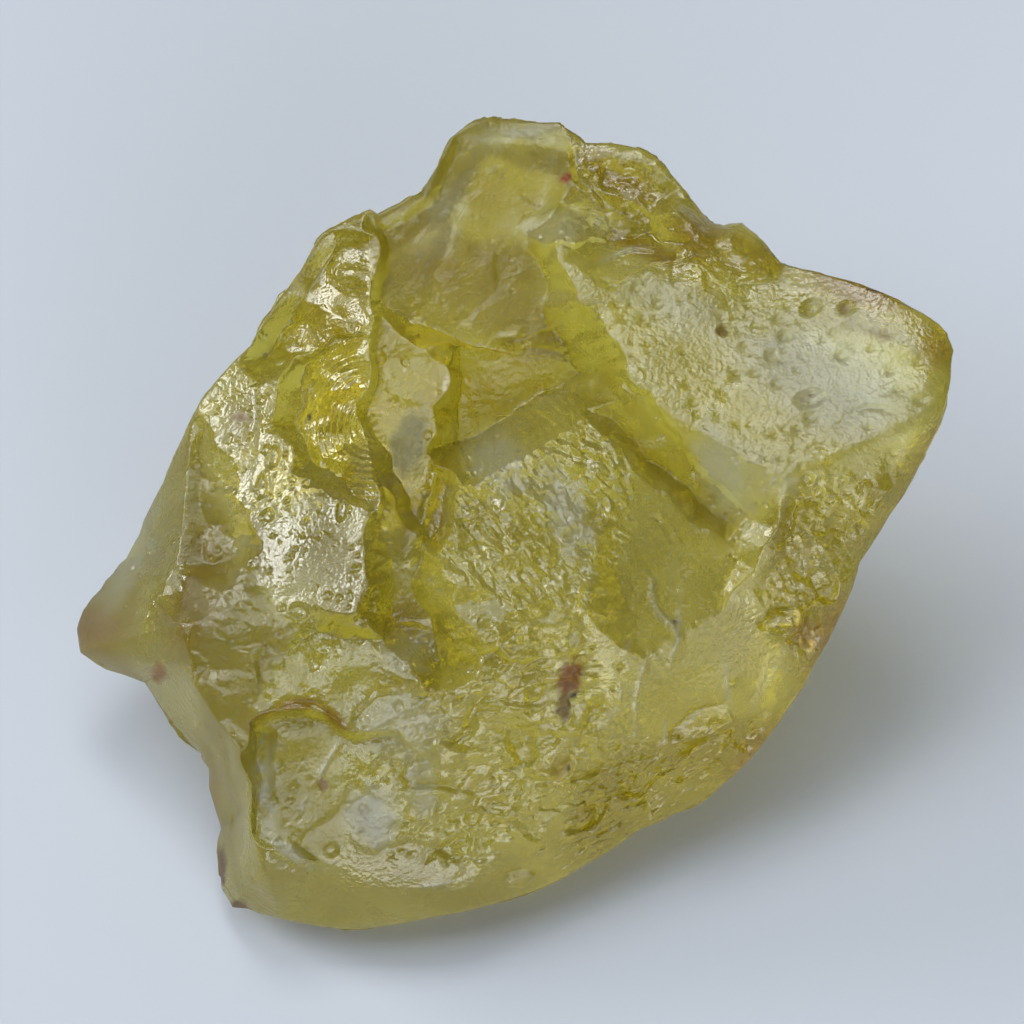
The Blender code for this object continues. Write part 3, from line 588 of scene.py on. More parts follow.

# Finish of the skin: how rough it is and how dark its colour runs (0 to 1), first everywhere and
# then inside the outline of each area. The darkness is partly the stone's own tone and partly
# painted shade, which darkens areas that are in shade, such as the recess, the tip and the spear
# window.
BROAD_FINISH = (0.20, 0.10)
BACK_FINISH = (0.26, 0.45)
FINISH_EDGE = 1.1              # width over which an area's finish fades out
FINISH_AND_SHADE_AREAS = {
    "front": (
        ((-14.0, -15.0), (-4.0, -16.0), (4.0, -15.5), (11.5, -11.5), (13.0, -12.5), (5.0, -18.0),
         (-8.0, -21.0), (-15.0, -20.0)), 0.20, 0.45),
    "pitted left": (
        ((-14.4, 6.0), (-12.0, 9.2), (-10.4, 8.0), (-10.2, 3.2), (-6.4, 0.4), (-5.6, -4.6),
         (-3.4, -5.4), (-3.4, -8.2), (-6.0, -8.0), (-10.0, -5.0), (-13.0, -2.0)), 0.19, 0.60),
    "left flank": (
        ((-22.5, -5.0), (-15.5, 6.5), (-15.4, -8.0), (-15.4, -12.0), (-22.5, -8.5)), 0.20, 0.60),
    "tip": (
        ((-22.5, -2.0), (-19.0, -1.6), (-18.4, -5.0), (-18.8, -8.6), (-22.5, -8.5)), 0.30, 1.00),
    "upper left": (
        ((-13.4, 8.4), (-12.4, 10.5), (-9.35, 15.0), (-7.0, 16.0), (-6.9, 11.25), (-7.0, 8.6),
         (-9.2, 8.8), (-11.2, 8.3)), 0.18, 0.85),
    "left shade": (
        ((-16.0, 4.0), (-14.4, 2.0), (-13.4, -2.0), (-10.5, -5.0), (-12.6, -9.0), (-13.0, -13.0),
         (-13.6, -18.0), (-15.5, -14.0), (-15.5, -8.0)), 0.36, 1.00),
    "foot pane": (
        ((-12.4, -10.4), (-10.6, -9.3), (-9.6, -9.6), (-8.6, -10.6), (-8.3, -12.5),
         (-8.3, -15.5), (-9.6, -16.4), (-11.3, -15.4), (-12.3, -14.2)), 0.34, 0.45),
    "rippled hollow": (HOLLOW_AREA, 0.12, 0.70),
    "upper slope": (
        ((-7.0, 15.6), (-3.5, 19.0), (-1.5, 21.0), (2.5, 20.9), (3.5, 16.75), (1.2, 14.5),
         (1.75, 11.25), (3.25, 7.75), (-2.75, 9.0), (-6.6, 11.25)), 0.38, 1.00),
    "top edge": (
        ((2.5, 20.5), (9.0, 16.5), (9.3, 15.4), (14.0, 13.2), (13.5, 12.0), (9.0, 13.0),
         (4.5, 14.25), (3.3, 16.25)), 0.20, 0.65),
    "white face": (
        ((2.0, 14.4), (4.5, 13.7), (9.5, 11.2), (14.5, 11.0), (19.5, 9.0), (21.5, 7.4),
         (20.5, 4.75), (16.0, 2.25), (13.25, 1.25), (11.25, -2.0), (9.5, 1.0), (7.0, 6.25),
         (4.0, 9.75), (2.0, 11.75)), 0.28, 0.00),
    "recess": (
        ((-3.2, 9.0), (2.5, 9.75), (3.25, 7.5), (1.5, 6.5), (-2.5, 4.0), (-4.0, 0.5)), 0.22, 1.00),
    "riser": (
        ((1.75, 11.25), (3.5, 8.75), (6.5, 6.4), (9.0, 3.25), (11.1, 0.7), (10.6, -1.2),
         (8.4, 1.0), (5.8, 3.6), (3.0, 6.0), (1.6, 9.2)), 0.26, 0.60),
    "cheek": (
        ((5.8, 3.4), (8.4, 0.8), (10.6, -1.4), (12.5, -3.5), (14.5, -8.0), (12.0, -10.6),
         (5.0, -10.8), (4.0, -8.0), (5.0, -3.0)), 0.22, 0.05),
    "spear": (
        ((-6.9, 10.75), (-3.5, 11.0), (-2.75, 7.25), (-4.25, 0.25), (-5.25, -2.0), (-6.6, 1.25),
         (-7.25, 7.75)), 0.28, 0.95),
    "spear window": (
        ((-6.2, 5.6), (-4.2, 6.2), (-3.6, 4.0), (-4.0, 1.2), (-5.6, 2.2)), 0.24, 1.00),
    "lower right": (
        ((5.5, -10.8), (9.0, -10.0), (14.5, -8.8), (12.5, -12.5), (5.0, -17.5), (2.5, -17.0),
         (3.5, -13.0)), 0.20, 0.80),
    "right band": (
        ((12.5, 0.0), (14.5, 2.4), (18.0, 2.2), (22.0, 6.0), (20.5, 2.0), (17.5, -3.0),
         (14.8, -9.5), (12.6, -4.5)), 0.18, 0.70),
}

PALE = (0.94, 0.86, 0.18)      # colour where the darkness is 0
DEEP = (0.58, 0.48, 0.035)     # colour where it is 1
CLOUDINESS = 0.25              # how much the darkness varies in clouds
CLOUDS = (5.0, 81)             # wave size and seed of those
PATCH_FADE = 1.2               # higher makes amber and painted sheen patches smaller

# Amber tinge: across, up, half length, half width, turn in degrees and strength of each patch
AMBER = {
    "knob": (10.4, 13.9, 2.6, 1.3, -25.0, 0.8),
    "wavy ledge": (6.8, 13.6, 1.8, 0.5, -22.0, 0.8),
    "slope rim": (17.2, 11.7, 3.4, 0.8, -22.0, 0.75),
    "tip rim": (20.9, 9.0, 1.5, 0.9, -70.0, 0.7),
    "right rim": (20.6, 3.2, 4.2, 0.8, 62.0, 0.55),
    "right foot rim": (15.4, -6.4, 3.6, 0.9, 65.0, 0.75),
    "orange patch": (14.9, -5.5, 1.1, 0.8, -20.0, 0.9),
    "lower rim": (12.4, -11.2, 2.6, 0.8, 50.0, 0.6),
    "arch": (-10.4, -8.8, 1.3, 0.34, 6.0, 0.95),
    "arch left": (-12.2, -9.5, 1.1, 0.36, 32.0, 0.8),
    "arch right": (-8.6, -9.5, 1.0, 0.34, -42.0, 0.9),
    "rib": (-3.2, 1.4, 3.2, 0.5, 80.0, 0.45),
    "left rim": (-15.3, -14.5, 2.6, 0.7, 80.0, 0.55),
    "tip": (-20.6, -5.6, 2.4, 1.5, -25.0, 0.8),
    "centre": (-5.3, -4.6, 1.2, 0.8, 60.0, 0.5),
    "upper top": (5.2, 17.6, 3.6, 0.9, -32.0, 0.45),
    "upper slope": (-1.0, 14.0, 4.6, 4.6, 0.0, 0.30),
    "recess": (-0.5, 7.2, 2.8, 1.6, 10.0, 0.30),
    "left shade": (-15.6, -3.4, 3.6, 1.4, 80.0, 0.40),
}
AMBER_TINT = (0.50, 0.30, 0.022)
BACK_AMBER = 0.25              # strength all over the back

# Painted sheen: patches whose colour is paled towards a bluish white to stand in for the lamps'
# sheen, and made more matt: the same terms as the amber
PAINTED_SHEEN = {
    "white corner": (15.6, 7.3, 4.6, 2.7, -22.0, 1.0),
    "white foot": (10.4, 2.6, 2.6, 1.1, -72.0, 0.8),
    "yellow foot": (12.6, 2.9, 3.0, 1.6, 30.0, 0.45),
    "rim streak": (17.6, 9.9, 2.4, 0.6, -22.0, 0.5),
    "upper white": (8.2, 10.6, 3.2, 1.3, -30.0, 0.5),
    "top arcs": (2.6, 14.9, 2.6, 1.0, 0.0, 0.5),
    "bright spot": (-6.8, -14.3, 1.25, 1.5, 15.0, 1.0),
    "pane strip": (-11.95, -12.6, 0.42, 2.4, 0.0, 1.0),
    "pane curve": (-10.9, -16.0, 1.4, 0.40, -38.0, 0.8),
    "speckled patch": (-5.2, -9.9, 2.2, 1.7, 10.0, 0.6),
    "ragged patch": (-4.3, -12.8, 0.8, 1.8, 0.0, 0.7),
    "hatched patch": (-4.9, -6.2, 1.5, 1.1, 0.0, 0.5),
    "top knob": (0.6, 19.5, 2.2, 0.5, 0.0, 0.7),
    "upper streak": (-3.2, 15.4, 2.8, 0.8, 62.0, 0.35),
    "centre left": (-0.6, 3.2, 2.2, 1.4, -50.0, 0.7),
    "centre right": (2.6, 0.9, 1.0, 2.6, 20.0, 0.7),
    "flank": (-19.0, -1.5, 0.9, 3.4, -25.0, 0.5),
}
PAINTED_SHEEN_TINT = (0.95, 0.98, 0.88)
SHEEN_PATCH_ROUGHNESS = 0.34
SHEEN_PATCH_TEAR = 0.22              # how far the edges of the patches stray
SHEEN_PATCH_RAGS = (1.3, 84)         # wave size and seed of that

# Stains: across, up, half length, half width, turn in degrees, colour and strength
STAINS = {
    "brown spot": (2.95, -7.45, 0.98, 0.56, 62.0, (0.42, 0.135, 0.005), 1.0),
    "spot foot": (2.65, -8.80, 0.62, 0.44, 70.0, (0.24, 0.125, 0.005), 0.95),
    "orange pit": (2.50, -11.90, 0.75, 0.52, 70.0, (0.72, 0.50, 0.040), 0.6),
    "left triangle": (-17.50, -7.30, 0.60, 0.34, 70.0, (0.60, 0.22, 0.015), 0.95),
    "splinter foot": (-9.20, -12.80, 0.38, 0.30, 50.0, (0.42, 0.20, 0.020), 0.85),
    "edge stain": (-14.50, -17.30, 1.20, 0.32, 86.0, (0.24, 0.080, 0.025), 0.95),
    "corner stain": (-13.50, -19.05, 0.55, 0.28, -10.0, (0.26, 0.11, 0.020), 0.95),
    "orange streak": (-13.35, 5.35, 0.60, 0.16, -14.0, (0.40, 0.17, 0.020), 0.9),
    "slope spot": (10.50, 9.60, 0.32, 0.28, 0.0, (0.34, 0.19, 0.030), 0.85),
    "second slope spot": (14.70, 6.25, 0.42, 0.20, 20.0, (0.26, 0.13, 0.020), 0.85),
    "third slope spot": (16.50, 10.65, 0.30, 0.24, 0.0, (0.36, 0.20, 0.030), 0.85),
    "slope streak": (18.40, 9.30, 0.80, 0.20, -24.0, (0.40, 0.22, 0.030), 0.85),
    "black dot": (3.12, -8.35, 0.15, 0.14, 0.0, (0.010, 0.008, 0.005), 1.0),
    "pit dot": (2.90, -11.90, 0.18, 0.11, 80.0, (0.05, 0.035, 0.010), 1.0),
    "red speck": (2.78, 17.30, 0.30, 0.25, 60.0, (0.52, 0.020, 0.010), 1.0),
    "black speck": (-10.00, 5.35, 0.20, 0.13, 80.0, (0.015, 0.010, 0.006), 1.0),
    "rim grain": (18.10, 11.62, 0.26, 0.14, -20.0, (0.06, 0.055, 0.035), 1.0),
    "dark dot": (8.10, -4.75, 0.14, 0.12, 0.0, (0.06, 0.045, 0.010), 1.0),
    # Painted shade: this dark grey patch stands in for the dark seen through the spear window, and
    # is no stain.
    "painted dark window": (-5.00, 4.0, 1.6, 0.85, 76.0, (0.15, 0.16, 0.11), 0.75),
}
STAIN_ROUGHNESS = 0.5
STAIN_STRAY = 0.10             # how far the edges of stains stray at most
STAIN_STRAY_SHARE = 0.25       # and as a share of the half width
STAIN_RAGS = 0.8               # wave size of that
STAIN_SEEDS = (82, 83)
STAIN_END = 1.2                # where a stain ends, 1 being on its oval
STAIN_EDGE = 0.4               # over how much of that oval it fades out

# Crystal
TOPAZ_IOR = 1.62
CLEARNESS = 0.84               # share of the body that is see-through
DEPTH_COLOUR = (0.92, 0.88, 0.10, 1.0)
DEPTH_DENSITY = 80.0           # absorption per metre
GLOSS_VARIES = 0.24            # how much the roughness varies in spots
GLOSS_LEVEL = 0.4              # value of the spots at which it stays as it is
GLOSS_SCALE = 0.7              # spots to the millimetre
GLOSS_OCTAVE = 0.5             # strength of the finer spots among them
GRAIN_HEIGHT = 0.045           # of the finest grain of the skin
GRAIN_SCALE = 3.4              # grains to the millimetre
GRAIN_OCTAVE = 0.6             # strength of the finer grain among them

# Areas of the broad side where the mesh keeps its finest triangles
DETAIL = {
    "pitted left": (
        (-13.6, 7.9), (-12.0, 8.8), (-9.4, 9.0), (-6.9, 8.2), (-6.3, 0.8), (-5.6, -4.2),
        (-9.5, -4.6), (-12.6, -2.5), (-13.2, 1.5)),
    "centre": (
        (-2.6, 3.4), (0.5, 5.4), (3.0, 5.9), (4.6, 3.2), (4.8, -1.0), (3.2, -3.8), (0.5, -3.2),
        (-1.2, -0.6)),
    "foot patches": (
        (-8.2, -8.4), (-3.2, -7.6), (-3.0, -14.5), (-6.0, -16.2), (-8.4, -15.8)),
}

DETAIL_ROUND_STAINS = 1.4      # and round stains this far out, 1 being on their oval
DETAIL_RIDGE = 0.02            # and on ridges above this share of their height

# Lamps: direction from the stone, half angles of sky that each one fills, brightness and colour
LAMP_DISTANCE = 1.1
LAMPS = {
    "soft_box": ((-0.40, 0.02, 0.91), (38.0, 17.0), 1.75, (0.88, 0.96, 1.05)),
    "sheen_lamp": ((-0.06, 0.33, 0.94), (9.5, 8.5), 7.0, (0.97, 0.99, 1.02)),
    "window": ((-0.60, -0.22, 0.76), (11.0, 9.0), 2.8, (0.90, 1.0, 1.06)),
    "left_lamp": ((-0.84, 0.30, 0.45), (9.0, 9.0), 11.5, (0.98, 1.0, 1.0)),
    "front_card": ((0.05, -0.96, 0.26), (18.0, 11.0), 4.5, (0.94, 0.98, 1.03)),
    "front_fill": ((0.55, -0.80, 0.24), (32.0, 14.0), 1.7, (0.94, 0.98, 1.03)),
    "back_panel": ((0.15, 0.93, 0.34), (45.0, 14.0), 0.4, (0.90, 0.97, 1.04)),
}
ROOM_LIGHT = (0.10, 0.11, 0.12, 1.0)
LIGHT_BOUNCES = 7

# Floor, in metres
FLOOR_SIZE = 1.6
FLOOR_COLOUR = (0.58, 0.60, 0.645, 1.0)
FLOOR_ROUGHNESS = 0.75

# Camera: the lens and its sensor in millimetres, the point in the table frame that it is aimed at
# and the width that it takes in there
LENS = 200.0
SENSOR = 36.0
CLIP_START = 0.01
AIM = (0.1, 0.55, 12.5)
PICTURE_WIDTH = 51.2


def to_table(points):
    """Points of the broad side's frame, in millimetres, turned into the table frame."""
    across, up, out = points.T
    back = up * math.sin(LEAN) - out * math.cos(LEAN)
    height = up * math.cos(LEAN) + out * math.sin(LEAN) + CORE_HEIGHT
    return np.stack([across, back, height], axis=1)


def to_broad_side(points):
    """Points of the table frame turned into the broad side's frame."""
    across, back, height = np.asarray(points, float).T
    height = height - CORE_HEIGHT
    up = back * math.sin(LEAN) + height * math.cos(LEAN)
    out = height * math.sin(LEAN) - back * math.cos(LEAN)
    return np.stack([across, up, out], axis=1)


def face_planes():
    """Unit normals and distances, measured from the heart, of every face of the stone."""
    heart = np.array([0.0, 0.0, HEART_OUT])
    normals = []
    distances = []
    for across, up, out, rise_right, rise_up in BROAD_FACES.values():
        normal = np.array([-rise_right, -rise_up, 1.0])
        normal /= np.linalg.norm(normal)
        normals.append(normal)
        distances.append(normal @ (np.array([across, up, out]) - heart))
    for corners in UNDER_FACES.values():
        first, second, third = to_broad_side(corners)
        normal = np.cross(second - first, third - first)
        normal /= np.linalg.norm(normal)
        distance = normal @ (first - heart)
        if distance < 0:
            normal = -normal
            distance = -distance
        normals.append(normal)
        distances.append(distance)
    return np.array(normals), np.array(distances)


def reach(directions, normals, distances):
    """How far the block of faces reaches from the heart along each direction."""
    nearness = np.maximum(directions @ normals.T, 0.0) / distances
    peak = nearness.max(axis=1)
    rounded = ((nearness / peak[:, None]) ** EDGE_SHARPNESS).sum(axis=1) ** (1.0 / EDGE_SHARPNESS)
    return 1.0 / (peak * rounded)


def scooped(directions, lengths):
    """The lengths, shortened where a direction runs into a conchoidal hollow."""
    heart = np.array([0.0, 0.0, HEART_OUT])
    for *centre, radius in SCOOPS:
        offset = to_broad_side([centre])[0] - heart
        along = directions @ offset
        gap = along ** 2 - offset @ offset + radius ** 2
        entry = along - np.sqrt(np.maximum(gap, 0.0))
        hit = (gap > 0) & (entry > 0)
        lengths = np.where(hit, np.minimum(lengths, entry), lengths)
    return lengths


def outline_reach(angles):
    """Distance from the middle to the outline, at each angle round the broad side."""
    corners = np.array(OUTLINE)
    corner_angles = np.arctan2(corners[:, 1], corners[:, 0])
    order = np.argsort(corner_angles)
    return np.interp(angles, corner_angles[order], np.hypot(*corners[order].T), period=2 * math.pi)


def block_rim(normals, distances):
    """The block's own outline: angles, how far it reaches there, and at what slope."""
    angles = np.linspace(-math.pi, math.pi, RIM_ANGLES + 1)[:-1]
    slopes = np.radians(np.linspace(-STEEPEST_RIM, STEEPEST_RIM, RIM_SLOPES + 1))
    turn, slope = np.meshgrid(angles, slopes, indexing="ij")
    level = np.cos(slope)
    directions = np.stack([np.cos(turn) * level, np.sin(turn) * level, np.sin(slope)], axis=-1)
    flat = directions.reshape(-1, 3)
    lengths = scooped(flat, reach(flat, normals, distances)).reshape(turn.shape)
    spread = lengths * level
    widest = spread.argmax(axis=1)
    rows = np.arange(len(angles))
    return angles, spread[rows, widest], slopes[widest]


def to_polygon(across, up, corners):
    """Distance to a polygon's edge, negative inside it."""
    nearest = np.full(across.shape, np.inf)
    inside = np.zeros(across.shape, bool)
    for (ax, ay), (bx, by) in zip(corners, corners[1:] + corners[:1]):
        dx = bx - ax
        dy = by - ay
        share = np.clip(((across - ax) * dx + (up - ay) * dy) / (dx * dx + dy * dy), 0.0, 1.0)
        nearest = np.minimum(nearest, np.hypot(across - ax - share * dx, up - ay - share * dy))
        if dy != 0.0:
            crosses = ((ay > up) != (by > up)) & (across < ax + dx * (up - ay) / dy)
            inside ^= crosses
    return np.where(inside, -nearest, nearest)


def covered(across, up, corners, edge):
    """1 inside an area and 0 outside it, fading over the width of its edge."""
    return np.clip(0.5 - to_polygon(across, up, corners) / edge, 0.0, 1.0)


def eased(share):
    """A share from 0 to 1 with a soft start and end."""
    return share * share * (3.0 - 2.0 * share)


def turned(across, up, run):
    """Distances along a direction, given in degrees from across, and beside it."""
    turn = math.radians(run)
    along = across * math.cos(turn) + up * math.sin(turn)
    beside = up * math.cos(turn) - across * math.sin(turn)
    return along, beside


def from_oval(across, up, at_across, at_up, long, wide, run):
    """Distance from an oval's middle, 1 on its edge."""
    along, beside = turned(across - at_across, up - at_up, run)
    return np.hypot(along / long, beside / wide)


def on_the_flat(across, up):
    """Points of the broad side's frame at no height."""
    return np.stack([across, up, 0.0 * up], axis=1)


def floor_height(across, up, floor):
    """Height of a flake's floor, a plane through a point with a rise each way."""
    at_across, at_up, out, rise_right, rise_up = floor
    return out + rise_right * (across - at_across) + rise_up * (up - at_up)


def lower_of(first, second):
    """The lower of two heights, with the corner where they cross rounded off."""
    share = np.clip(0.5 + 0.5 * (second - first) / CREASE, 0.0, 1.0)
    return second + (first - second) * share - CREASE * share * (1.0 - share)


def scatter(column, row, seed):
    """A number from 0 to 1 that looks random but is always the same for a cell."""
    wave = np.sin(column * 127.1 + row * 311.7 + seed * 74.7) * 43758.5453
    return wave - np.floor(wave)


def flakes(across, up, length, width, run, tilt, step, seed, crispness=FLAKE_CRISPNESS):
    """Height of a field of flat flakes, each tilted its own way."""
    along, beside = turned(across, up, run)
    along = along / length
    beside = beside / width
    height = np.zeros(across.shape)
    total = np.zeros(across.shape)
    for near_column in (-1, 0, 1):
        for near_row in (-1, 0, 1):
            column = np.floor(along) + near_column
            row = np.floor(beside) + near_row
            off_along = along - column - scatter(column, row, seed)
            off_beside = beside - row - scatter(column, row, seed + 1.0)
            apart = off_along ** 2 + off_beside ** 2
            lean_along = tilt * (2.0 * scatter(column, row, seed + 2.0) - 1.0) * length
            lean_beside = tilt * (2.0 * scatter(column, row, seed + 3.0) - 1.0) * width
            level = step * (2.0 * scatter(column, row, seed + 4.0) - 1.0)
            flake = level + lean_along * off_along + lean_beside * off_beside
            weight = np.exp(-crispness * apart) + 1e-9
            height += weight * flake
            total += weight
    return height / total


def swell(points, size, seed):
    """A smooth, irregular wave through space, from about -1 to 1."""
    rng = np.random.default_rng(seed)
    ways = rng.normal(size=(WAVES, 3))
    ways *= (2.0 * math.pi / size) / np.linalg.norm(ways, axis=1)[:, None]
    ways *= rng.uniform(*WAVE_SIZES, WAVES)[:, None]
    starts = rng.uniform(0.0, 2.0 * math.pi, WAVES)
    return np.sin(points @ ways.T + starts).sum(axis=1) / math.sqrt(WAVES)


def chipped(across, up, out):
    """The broad side's height after its flakes are broken off and its knobs left standing."""
    flat = on_the_flat(across, up)
    for size, stray, seed in WANDER:
        across = across + stray * swell(flat, size, seed)
        up = up + stray * swell(flat, size, seed + 1)
    for corners, floor, wall in CHIPS.values():
        beyond = np.maximum(to_polygon(across, up, corners), 0.0)
        out = lower_of(out, floor_height(across, up, floor) + wall * beyond)
    for corners, floor, wall in KNOBS.values():
        beyond = np.maximum(to_polygon(across, up, corners), 0.0)
        out = -lower_of(-out, wall * beyond - floor_height(across, up, floor))
    for corners, length, width, run, tilt, step, seed in CRUMPLES.values():
        share = covered(across, up, corners, CRUMPLE_EDGE)
        out = out + share * flakes(across, up, length, width, run, tilt, step, seed)
    return out


def cleavage_steps(points):
    """How far the back is cut in at each point: ledges that run level with the cleavage."""
    wander = STEP_WANDER * swell(points, *STEP_BEND)
    place = (to_table(points)[:, 2] + wander) / STEP_SPACING
    part_way = place - np.floor(place)
    ramp = part_way / (1.0 - STEP_SHARE)
    drop = (1.0 - part_way) / STEP_SHARE
    uneven = 1.0 - STEP_UNEVEN + STEP_UNEVEN * swell(points, *STEP_FADE)
    return STEP_DEPTH * np.minimum(ramp, drop) * uneven


def pit(across, up, at_across, at_up, long, wide, run, depth):
    """Height of one oval pit with a flattened floor and a faint raised rim."""
    away = from_oval(across, up, at_across, at_up, long, wide, run)
    bowl = np.clip(PIT_FLATNESS * (1.0 - away ** 2), 0.0, 1.0)
    rim = np.exp(-((away - PIT_RIM_AT) / PIT_RIM_WIDTH) ** 2)
    return depth * (PIT_RIM_HEIGHT * rim - bowl)


def ridge(across, up, corners, half_width, tall):
    """Height of a thin ridge along a line of points, thinning out towards its ends."""
    line = np.array(corners)
    low = line.min(axis=0) - 3.0 * half_width
    high = line.max(axis=0) + 3.0 * half_width
    near = (across > low[0]) & (across < high[0]) & (up > low[1]) & (up < high[1])
    nearest = np.full(near.sum(), np.inf)
    reached = np.zeros(near.sum())
    for place, ((ax, ay), (bx, by)) in enumerate(zip(corners, corners[1:])):
        dx = bx - ax
        dy = by - ay
        off_across = across[near] - ax
        off_up = up[near] - ay
        share = np.clip((off_across * dx + off_up * dy) / (dx * dx + dy * dy), 0.0, 1.0)
        away = np.hypot(off_across - share * dx, off_up - share * dy)
        reached = np.where(away < nearest, (place + share) / (len(corners) - 1), reached)
        nearest = np.minimum(nearest, away)
    middle = np.sin(math.pi * np.clip(reached, 0.0, 1.0))
    swelling = RIDGE_END + (1.0 - RIDGE_END) * middle
    height = np.zeros(across.shape)
    height[near] = tall * swelling * np.exp(-((nearest / half_width) ** 2))
    return height


def areas(table, edge, across, up):
    """Each area of a table: where it is, how much it counts there, the places and its values."""
    for corners, *values in table.values():
        share = covered(across, up, corners, edge)
        inside = share > 0.0
        yield inside, share[inside], across[inside], up[inside], values


def plate(across, up, middle, corners, rise_right, rise_up, lift, edge):
    """Height of a small plate that leans further than the face round it."""
    share = eased(covered(across, up, corners, edge))
    slant = rise_right * (across - middle[0]) + rise_up * (up - middle[1])
    return share * (lift + slant)


def lean(across, up, at_across, at_up, radius, rise_right, rise_up):
    """Height of a place where a face leans a little more, which dies away with distance."""
    fall = np.exp(-((across - at_across) ** 2 + (up - at_up) ** 2) / radius ** 2)
    return fall * (rise_right * (across - at_across) + rise_up * (up - at_up))


def ripples(across, up, middle, spacing, tall, bend):
    """Height of arcs round a middle, each with a long rise and a short fall."""
    flat = on_the_flat(across, up)
    away = np.hypot(across - middle[0], up - middle[1])
    phase = (away + bend * swell(flat, *RIPPLE_BEND)) / spacing
    part_way = phase - np.floor(phase)
    wave = np.minimum(part_way / RIPPLE_RISE, (1.0 - part_way) / RIPPLE_FALL) - 0.5
    return tall * wave * (1.0 + 0.5 * swell(flat, *RIPPLE_FADE))


def flow(across, up, run, width, tall, seed):
    """Height of ridges drawn out along a direction."""
    along, beside = turned(across, up, run)
    wave = swell(on_the_flat(along * FLOW_SQUEEZE, beside), width, seed)
    return tall * (1.0 - 2.0 * np.abs(wave))


def relief(across, up):
    """Fine relief of the broad side: flakes, plates, ridges, ripples, etched skin and pits."""
    height = np.zeros(across.shape)
    for inside, share, *place, flake in areas(FINE_CRUMPLES, FINE_EDGE, across, up):
        height[inside] += share * flakes(*place, *flake, FINE_CRISPNESS)
    for corners, *form in PLATES.values():
        middle = np.mean(corners, axis=0)
        inside = np.hypot(across - middle[0], up - middle[1]) < PLATE_REACH
        height[inside] += plate(across[inside], up[inside], middle, corners, *form)
    for form in LEANS.values():
        height += lean(across, up, *form)
    for form in RIDGES.values():
        height += ridge(across, up, *form)
    for inside, share, *place, form in areas(RIPPLES, FINE_EDGE, across, up):
        middle, spacing, tall, bend = form
        height[inside] += ripples(*place, middle, spacing, share * tall, bend)
    for inside, share, *place, form in areas(FLOWS, FLOW_EDGE, across, up):
        run, width, tall, seed = form
        height[inside] += flow(*place, run, width, share * tall, seed)
    for inside, share, *place, form in areas(ETCHED, SKIN_EDGE, across, up):
        grain, tall, _, seed = form
        height[inside] += share * tall * swell(on_the_flat(*place), grain, seed)
    for form in PITS.values():
        inside = np.hypot(across - form[0], up - form[1]) < 2.0 * form[2]
        height[inside] += pit(across[inside], up[inside], *form)
    return height


def pitting(points, broad):
    """How thickly etch pits lie at each point, from 0 to 1."""
    across, up, _ = points.T
    share = np.where(broad, BROAD_PITTING, BACK_PITTING)
    for corners, _, _, pitted, _ in ETCHED.values():
        inside = covered(across, up, corners, SKIN_EDGE)
        share = np.where(broad, np.maximum(share, pitted * inside), share)
    crowds = 0.5 + CROWDING * swell(points, *PITTING_CROWDS)
    return share * np.clip(crowds, LEAST_PITTING, 1.0)


def tinged(colour, tint, share):
    """A colour at each point, taken towards a tint by a share."""
    share = share[:, None]
    return (1.0 - share) * colour + share * np.array(tint)


def skin_finish_and_painted_light(points, broad):
    """Roughness and colour of the skin at each point: stains and amber, with painted shade, painted
    sheen and painted highlights.
    """
    across, up, _ = points.T
    rough = np.where(broad, BROAD_FINISH[0], BACK_FINISH[0])
    dark = np.where(broad, BROAD_FINISH[1], BACK_FINISH[1])
    # Painted shade: each area's darkness takes the colour towards DEEP, partly for the stone's own
    # tone and partly where the area is in shade.
    for corners, area_rough, area_dark in FINISH_AND_SHADE_AREAS.values():
        inside = np.where(broad, eased(covered(across, up, corners, FINISH_EDGE)), 0.0)
        rough = rough + (area_rough - rough) * inside
        dark = dark + (area_dark - dark) * inside
    amber = np.where(broad, 0.0, BACK_AMBER)
    for *place, strength in AMBER.values():
        share = strength * np.exp(-PATCH_FADE * from_oval(across, up, *place) ** 3)
        amber = np.where(broad, np.maximum(amber, share), amber)
    cloud = CLOUDINESS * swell(points, *CLOUDS)
    colour = tinged(np.array(PALE), DEEP, np.clip(dark + cloud, 0.0, 1.0))
    colour = tinged(colour, AMBER_TINT, np.clip(amber * (1.0 + 2.0 * cloud), 0.0, 1.0))
    torn = SHEEN_PATCH_TEAR * swell(points, *SHEEN_PATCH_RAGS)
    # Painted sheen: each patch is paled towards the sheen tint and made rougher.
    for *place, strength in PAINTED_SHEEN.values():
        away = from_oval(across + torn, up - torn, *place)
        painted_sheen = np.where(broad, strength * np.exp(-PATCH_FADE * away ** 4), 0.0)
        rough = rough + painted_sheen * (SHEEN_PATCH_ROUGHNESS - rough)
        colour = tinged(colour, PAINTED_SHEEN_TINT, painted_sheen)
    # Painted highlights: the colour is paled towards the sheen tint along these ridges.
    for name in HIGHLIGHTED_RIDGES:
        line, half_width, _ = RIDGES[name]
        painted_sheen = np.where(broad, ridge(across, up, line, half_width, RIDGE_HIGHLIGHT), 0.0)
        colour = tinged(colour, PAINTED_SHEEN_TINT, painted_sheen)
    flat = on_the_flat(across, up)
    stray = [swell(flat, STAIN_RAGS, seed) for seed in STAIN_SEEDS]
    for *place, tint, strength in STAINS.values():
        reach_out = min(STAIN_STRAY, STAIN_STRAY_SHARE * place[3])
        away = from_oval(across + reach_out * stray[0], up + reach_out * stray[1], *place)
        share = strength * np.clip((STAIN_END - away) / STAIN_EDGE, 0.0, 1.0)
        share = np.where(broad, share, 0.0)
        rough = rough + share * (STAIN_ROUGHNESS - rough)
        colour = tinged(colour, tint, share)
    return {"roughness": rough, "tint": np.column_stack([colour, np.ones(len(colour))])}


